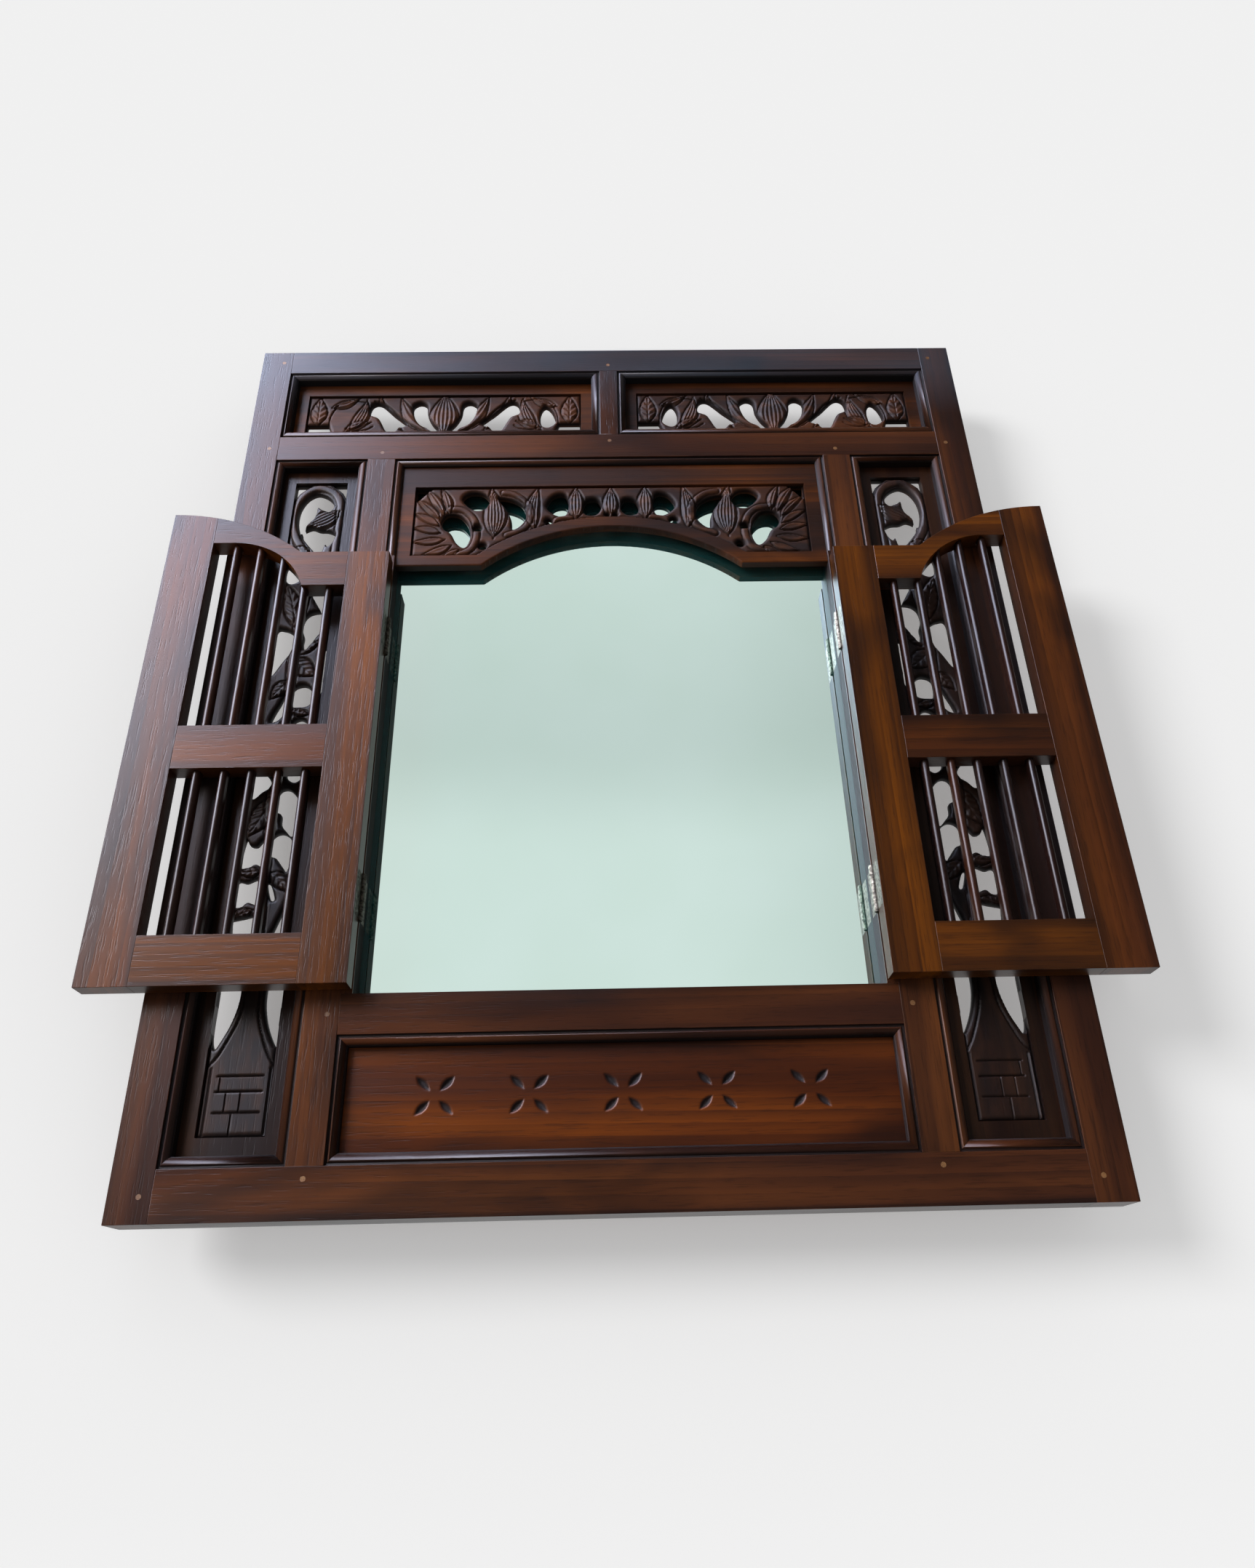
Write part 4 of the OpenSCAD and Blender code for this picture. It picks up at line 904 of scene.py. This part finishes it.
def makeBottomPanel():
    s = bottomPanel

    def heights(x, z):
        # Four chip-carved petals a motif, on the diagonals: each a lens as wide as petalWidth *
        # sin(pi * share of its length), cut to a vee that is deepest on its middle line
        near = np.clip(np.round(x / s["pitch"]), -(s["motifs"] // 2), s["motifs"] // 2)
        u, v = x - near * s["pitch"], z - s["middle"]
        height = np.zeros(x.shape)
        for angle in np.radians([45, 135, 225, 315]):
            along = u * np.cos(angle) + v * np.sin(angle) - s["petalStart"]
            across = np.abs(-u * np.sin(angle) + v * np.cos(angle))
            share = np.clip(along / s["petalLength"], 0, 1)
            edge = 0.5 * s["petalWidth"] * np.sin(np.pi * share) + 1e-6
            cut = np.clip(1 - across / edge, 0, 1) * (edge / s["petalWidth"] * 2)
            height = np.minimum(height, -s["petalDepth"] * np.clip(cut * s["veeSteepness"], 0, 1))
        # Painted shade in the chip-carved cuts, darker with their depth
        stainAndShade = np.clip(-2 * height / s["petalDepth"], 0, s["cutShadeShare"])
        return height, stainAndShade, np.zeros(x.shape)

    reach = (s["petalStart"] + s["petalLength"]) / math.sqrt(2) + 1
    last = (s["motifs"] // 2) * s["pitch"] + reach
    xs = gridLines(-s["half"], s["half"], -last, last, s["step"])
    zs = gridLines(s["low"], s["high"], s["middle"] - reach, s["middle"] + reach, s["step"])
    carvedPanel("bottom_panel_carving", "bottom_panel", s, xs, zs,
                lambda x, z: np.ones(x.shape), heights, panelMaterial)


for kind, settings, material in (("side", sidePanel, shadedSideMaterial), ("top", topPanel, topMaterial)):
    for side in sides:
        makeFret(kind, side, settings, material)
makeSpandrel()
makeBottomPanel()
print("carved panels ready")

mirrorLook = {
    "silver": "#dbeee7", "dusty": "#d7ebe2", "roughness": 0.0,
    "film": "#3fb0b4", "filmShare": 0.06,
    "smearSize": 160.0,      # mm
    "smearRange": (0.35, 0.65),
}


def silveredGlass():
    # Back-silvered float glass, made as a tinted metal: iron in the glass gives the pale green, the
    # film of dust soft changes of tone and a deep teal in the dark reflections
    look = mirrorLook
    material, add = newMaterial("silvered_glass")
    place = add("TexCoord").outputs["Object"]
    smear = add("TexNoise", {"Vector": place, "Scale": 1 / (look["smearSize"] * mm), "Detail": 3.0})
    share = add("MapRange", (smear, *look["smearRange"]))
    colour = add("Mix", {0: share, 6: linear(look["silver"]), 7: linear(look["dusty"])},
                 data_type="RGBA")
    surface = add("BsdfPrincipled", {"Base Color": colour, "Metallic": 1.0,
                                     "Roughness": look["roughness"]})
    film = add("BsdfDiffuse", {"Color": linear(look["film"])})
    add("OutputMaterial", (add("MixShader", (look["filmShare"], surface, film)),))
    return material


plating = {
    "tarnishRange": (0.42, 0.66), "roughRange": (0.3, 0.7),
    "scratchDepth": 0.01, "scratchStretch": 0.08, "scratchStrength": 0.3,
}
metals = {                   # the spots and scratches in mm
    "hinge_metal_dull_brass_plate": dict(plating, colour="#6f695e", tarnish="#413c35",
                                         rough=(0.45, 0.65), spot=2.4, scratch=0.35),
    "zinc_plated_steel": dict(plating, colour="#b8bbbf", tarnish="#83868a", rough=(0.28, 0.48),
                              spot=3.5, scratch=0.4),
}


def oldMetal(name):
    # Thin plating on stamped steel: spots of tarnish a few mm wide and fine scratches, both in the
    # colour and in the roughness
    look = metals[name]
    material, add = newMaterial(name)
    place = add("TexCoord").outputs["Object"]
    spots = add("TexNoise", {"Vector": place, "Scale": 1 / (look["spot"] * mm), "Detail": 4.0})
    share = add("MapRange", (spots, *look["tarnishRange"]))
    colour = add("Mix", {0: share, 6: linear(look["colour"]), 7: linear(look["tarnish"])},
                 data_type="RGBA")
    drawn = add("Mapping", {"Vector": place, "Scale": (1, 1, look["scratchStretch"])})
    lines = add("TexNoise", {"Vector": drawn, "Scale": 1 / (look["scratch"] * mm), "Detail": 2.0})
    rough = add("MapRange", (spots, *look["roughRange"], *look["rough"]))
    bump = add("Bump", {"Height": lines, "Distance": look["scratchDepth"] * mm,
                        "Strength": look["scratchStrength"]})
    surface = add("BsdfPrincipled", {"Base Color": colour, "Metallic": 1.0,
                                     "Roughness": rough, "Normal": bump})
    add("OutputMaterial", (surface,))
    return material


# The grain's width and depth and its slow change of tone are in mm
bareWood = {"change": 60.0, "toneRange": (0.75, 1.25), "grainDepth": 0.1, "grainStrength": 0.4}
plainBoards = {
    "pale_peg_hardwood": dict(bareWood, dark="#4a2c18", light="#8a6238", across=0.8, stretch=0.3,
                              rough=0.5, along=1),
    "birch_plywood_backing": dict(bareWood, dark="#8d6a43", light="#b08c60", across=1.6,
                                  stretch=0.03, rough=0.72, along=2),
}


def plainWood(name):
    # Bare wood: long fine grain, a slow change of tone, and matt fibres
    look = plainBoards[name]
    material, add = newMaterial(name)
    place = add("TexCoord").outputs["Object"]
    scale = [1.0, 1.0, 1.0]
    scale[look["along"]] = look["stretch"]
    drawn = add("Mapping", {"Vector": place, "Scale": scale})
    grain = add("TexNoise", {"Vector": drawn, "Scale": 1 / (look["across"] * mm),
                             "Detail": 4.0, "Distortion": 0.4})
    slow = add("TexNoise", {"Vector": drawn, "Scale": 1 / (look["change"] * mm), "Detail": 2.0})
    both = add("Math", (grain, slow), operation="ADD")
    share = add("MapRange", (both, *look["toneRange"]))
    colour = add("Mix", {0: share, 6: linear(look["dark"]), 7: linear(look["light"])},
                 data_type="RGBA")
    bump = add("Bump", {"Height": grain, "Distance": look["grainDepth"] * mm,
                        "Strength": look["grainStrength"]})
    surface = add("BsdfPrincipled", {"Base Color": colour, "Roughness": look["rough"],
                                     "IOR": 1.5, "Normal": bump})
    add("OutputMaterial", (surface,))
    return material


felt = {"dark": "#5d5140", "light": "#8b7c62", "fibre": 1.2, "depth": 0.3}    # mm


def woolFelt():
    # Thin brown felt: tangled fibres that show as a soft mottle
    material, add = newMaterial("brown_wool_felt")
    place = add("TexCoord").outputs["Object"]
    fibres = add("TexNoise", {"Vector": place, "Scale": 1 / (felt["fibre"] * mm),
                              "Detail": 5.0, "Distortion": 2.0})
    colour = add("Mix", {0: fibres, 6: linear(felt["dark"]), 7: linear(felt["light"])},
                 data_type="RGBA")
    bump = add("Bump", {"Height": fibres, "Distance": felt["depth"] * mm})
    surface = add("BsdfPrincipled", {"Base Color": colour, "Roughness": 0.95,
                                     "Sheen Weight": 0.3, "Normal": bump})
    add("OutputMaterial", (surface,))
    return material


def dress(material, names):
    for name in names:
        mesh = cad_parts[name].data
        mesh.materials.clear()
        mesh.materials.append(material)


levels = ("upper", "lower")
dress(silveredGlass(), ["mirror_glass"])
dress(woolFelt(), ["packing_sheet"])
dress(plainWood("pale_peg_hardwood"), ["joint_pegs"])
dress(plainWood("birch_plywood_backing"), ["backing_board"])
dress(oldMetal("zinc_plated_steel"),
      ["backing_screws", "hanger_screws"] + ["hanger_plate_" + s for s in sides])
dress(oldMetal("hinge_metal_dull_brass_plate"),
      ["frame_leaf_screws"] + ["hinge_pins_" + s for s in sides]
      + ["frame_leaf_" + s + "_" + level for s in sides for level in levels]
      + [s + "_leaf_" + level for s in sides for level in levels]
      + [s + "_leaf_screws" for s in sides])
print("mirror and metal ready")
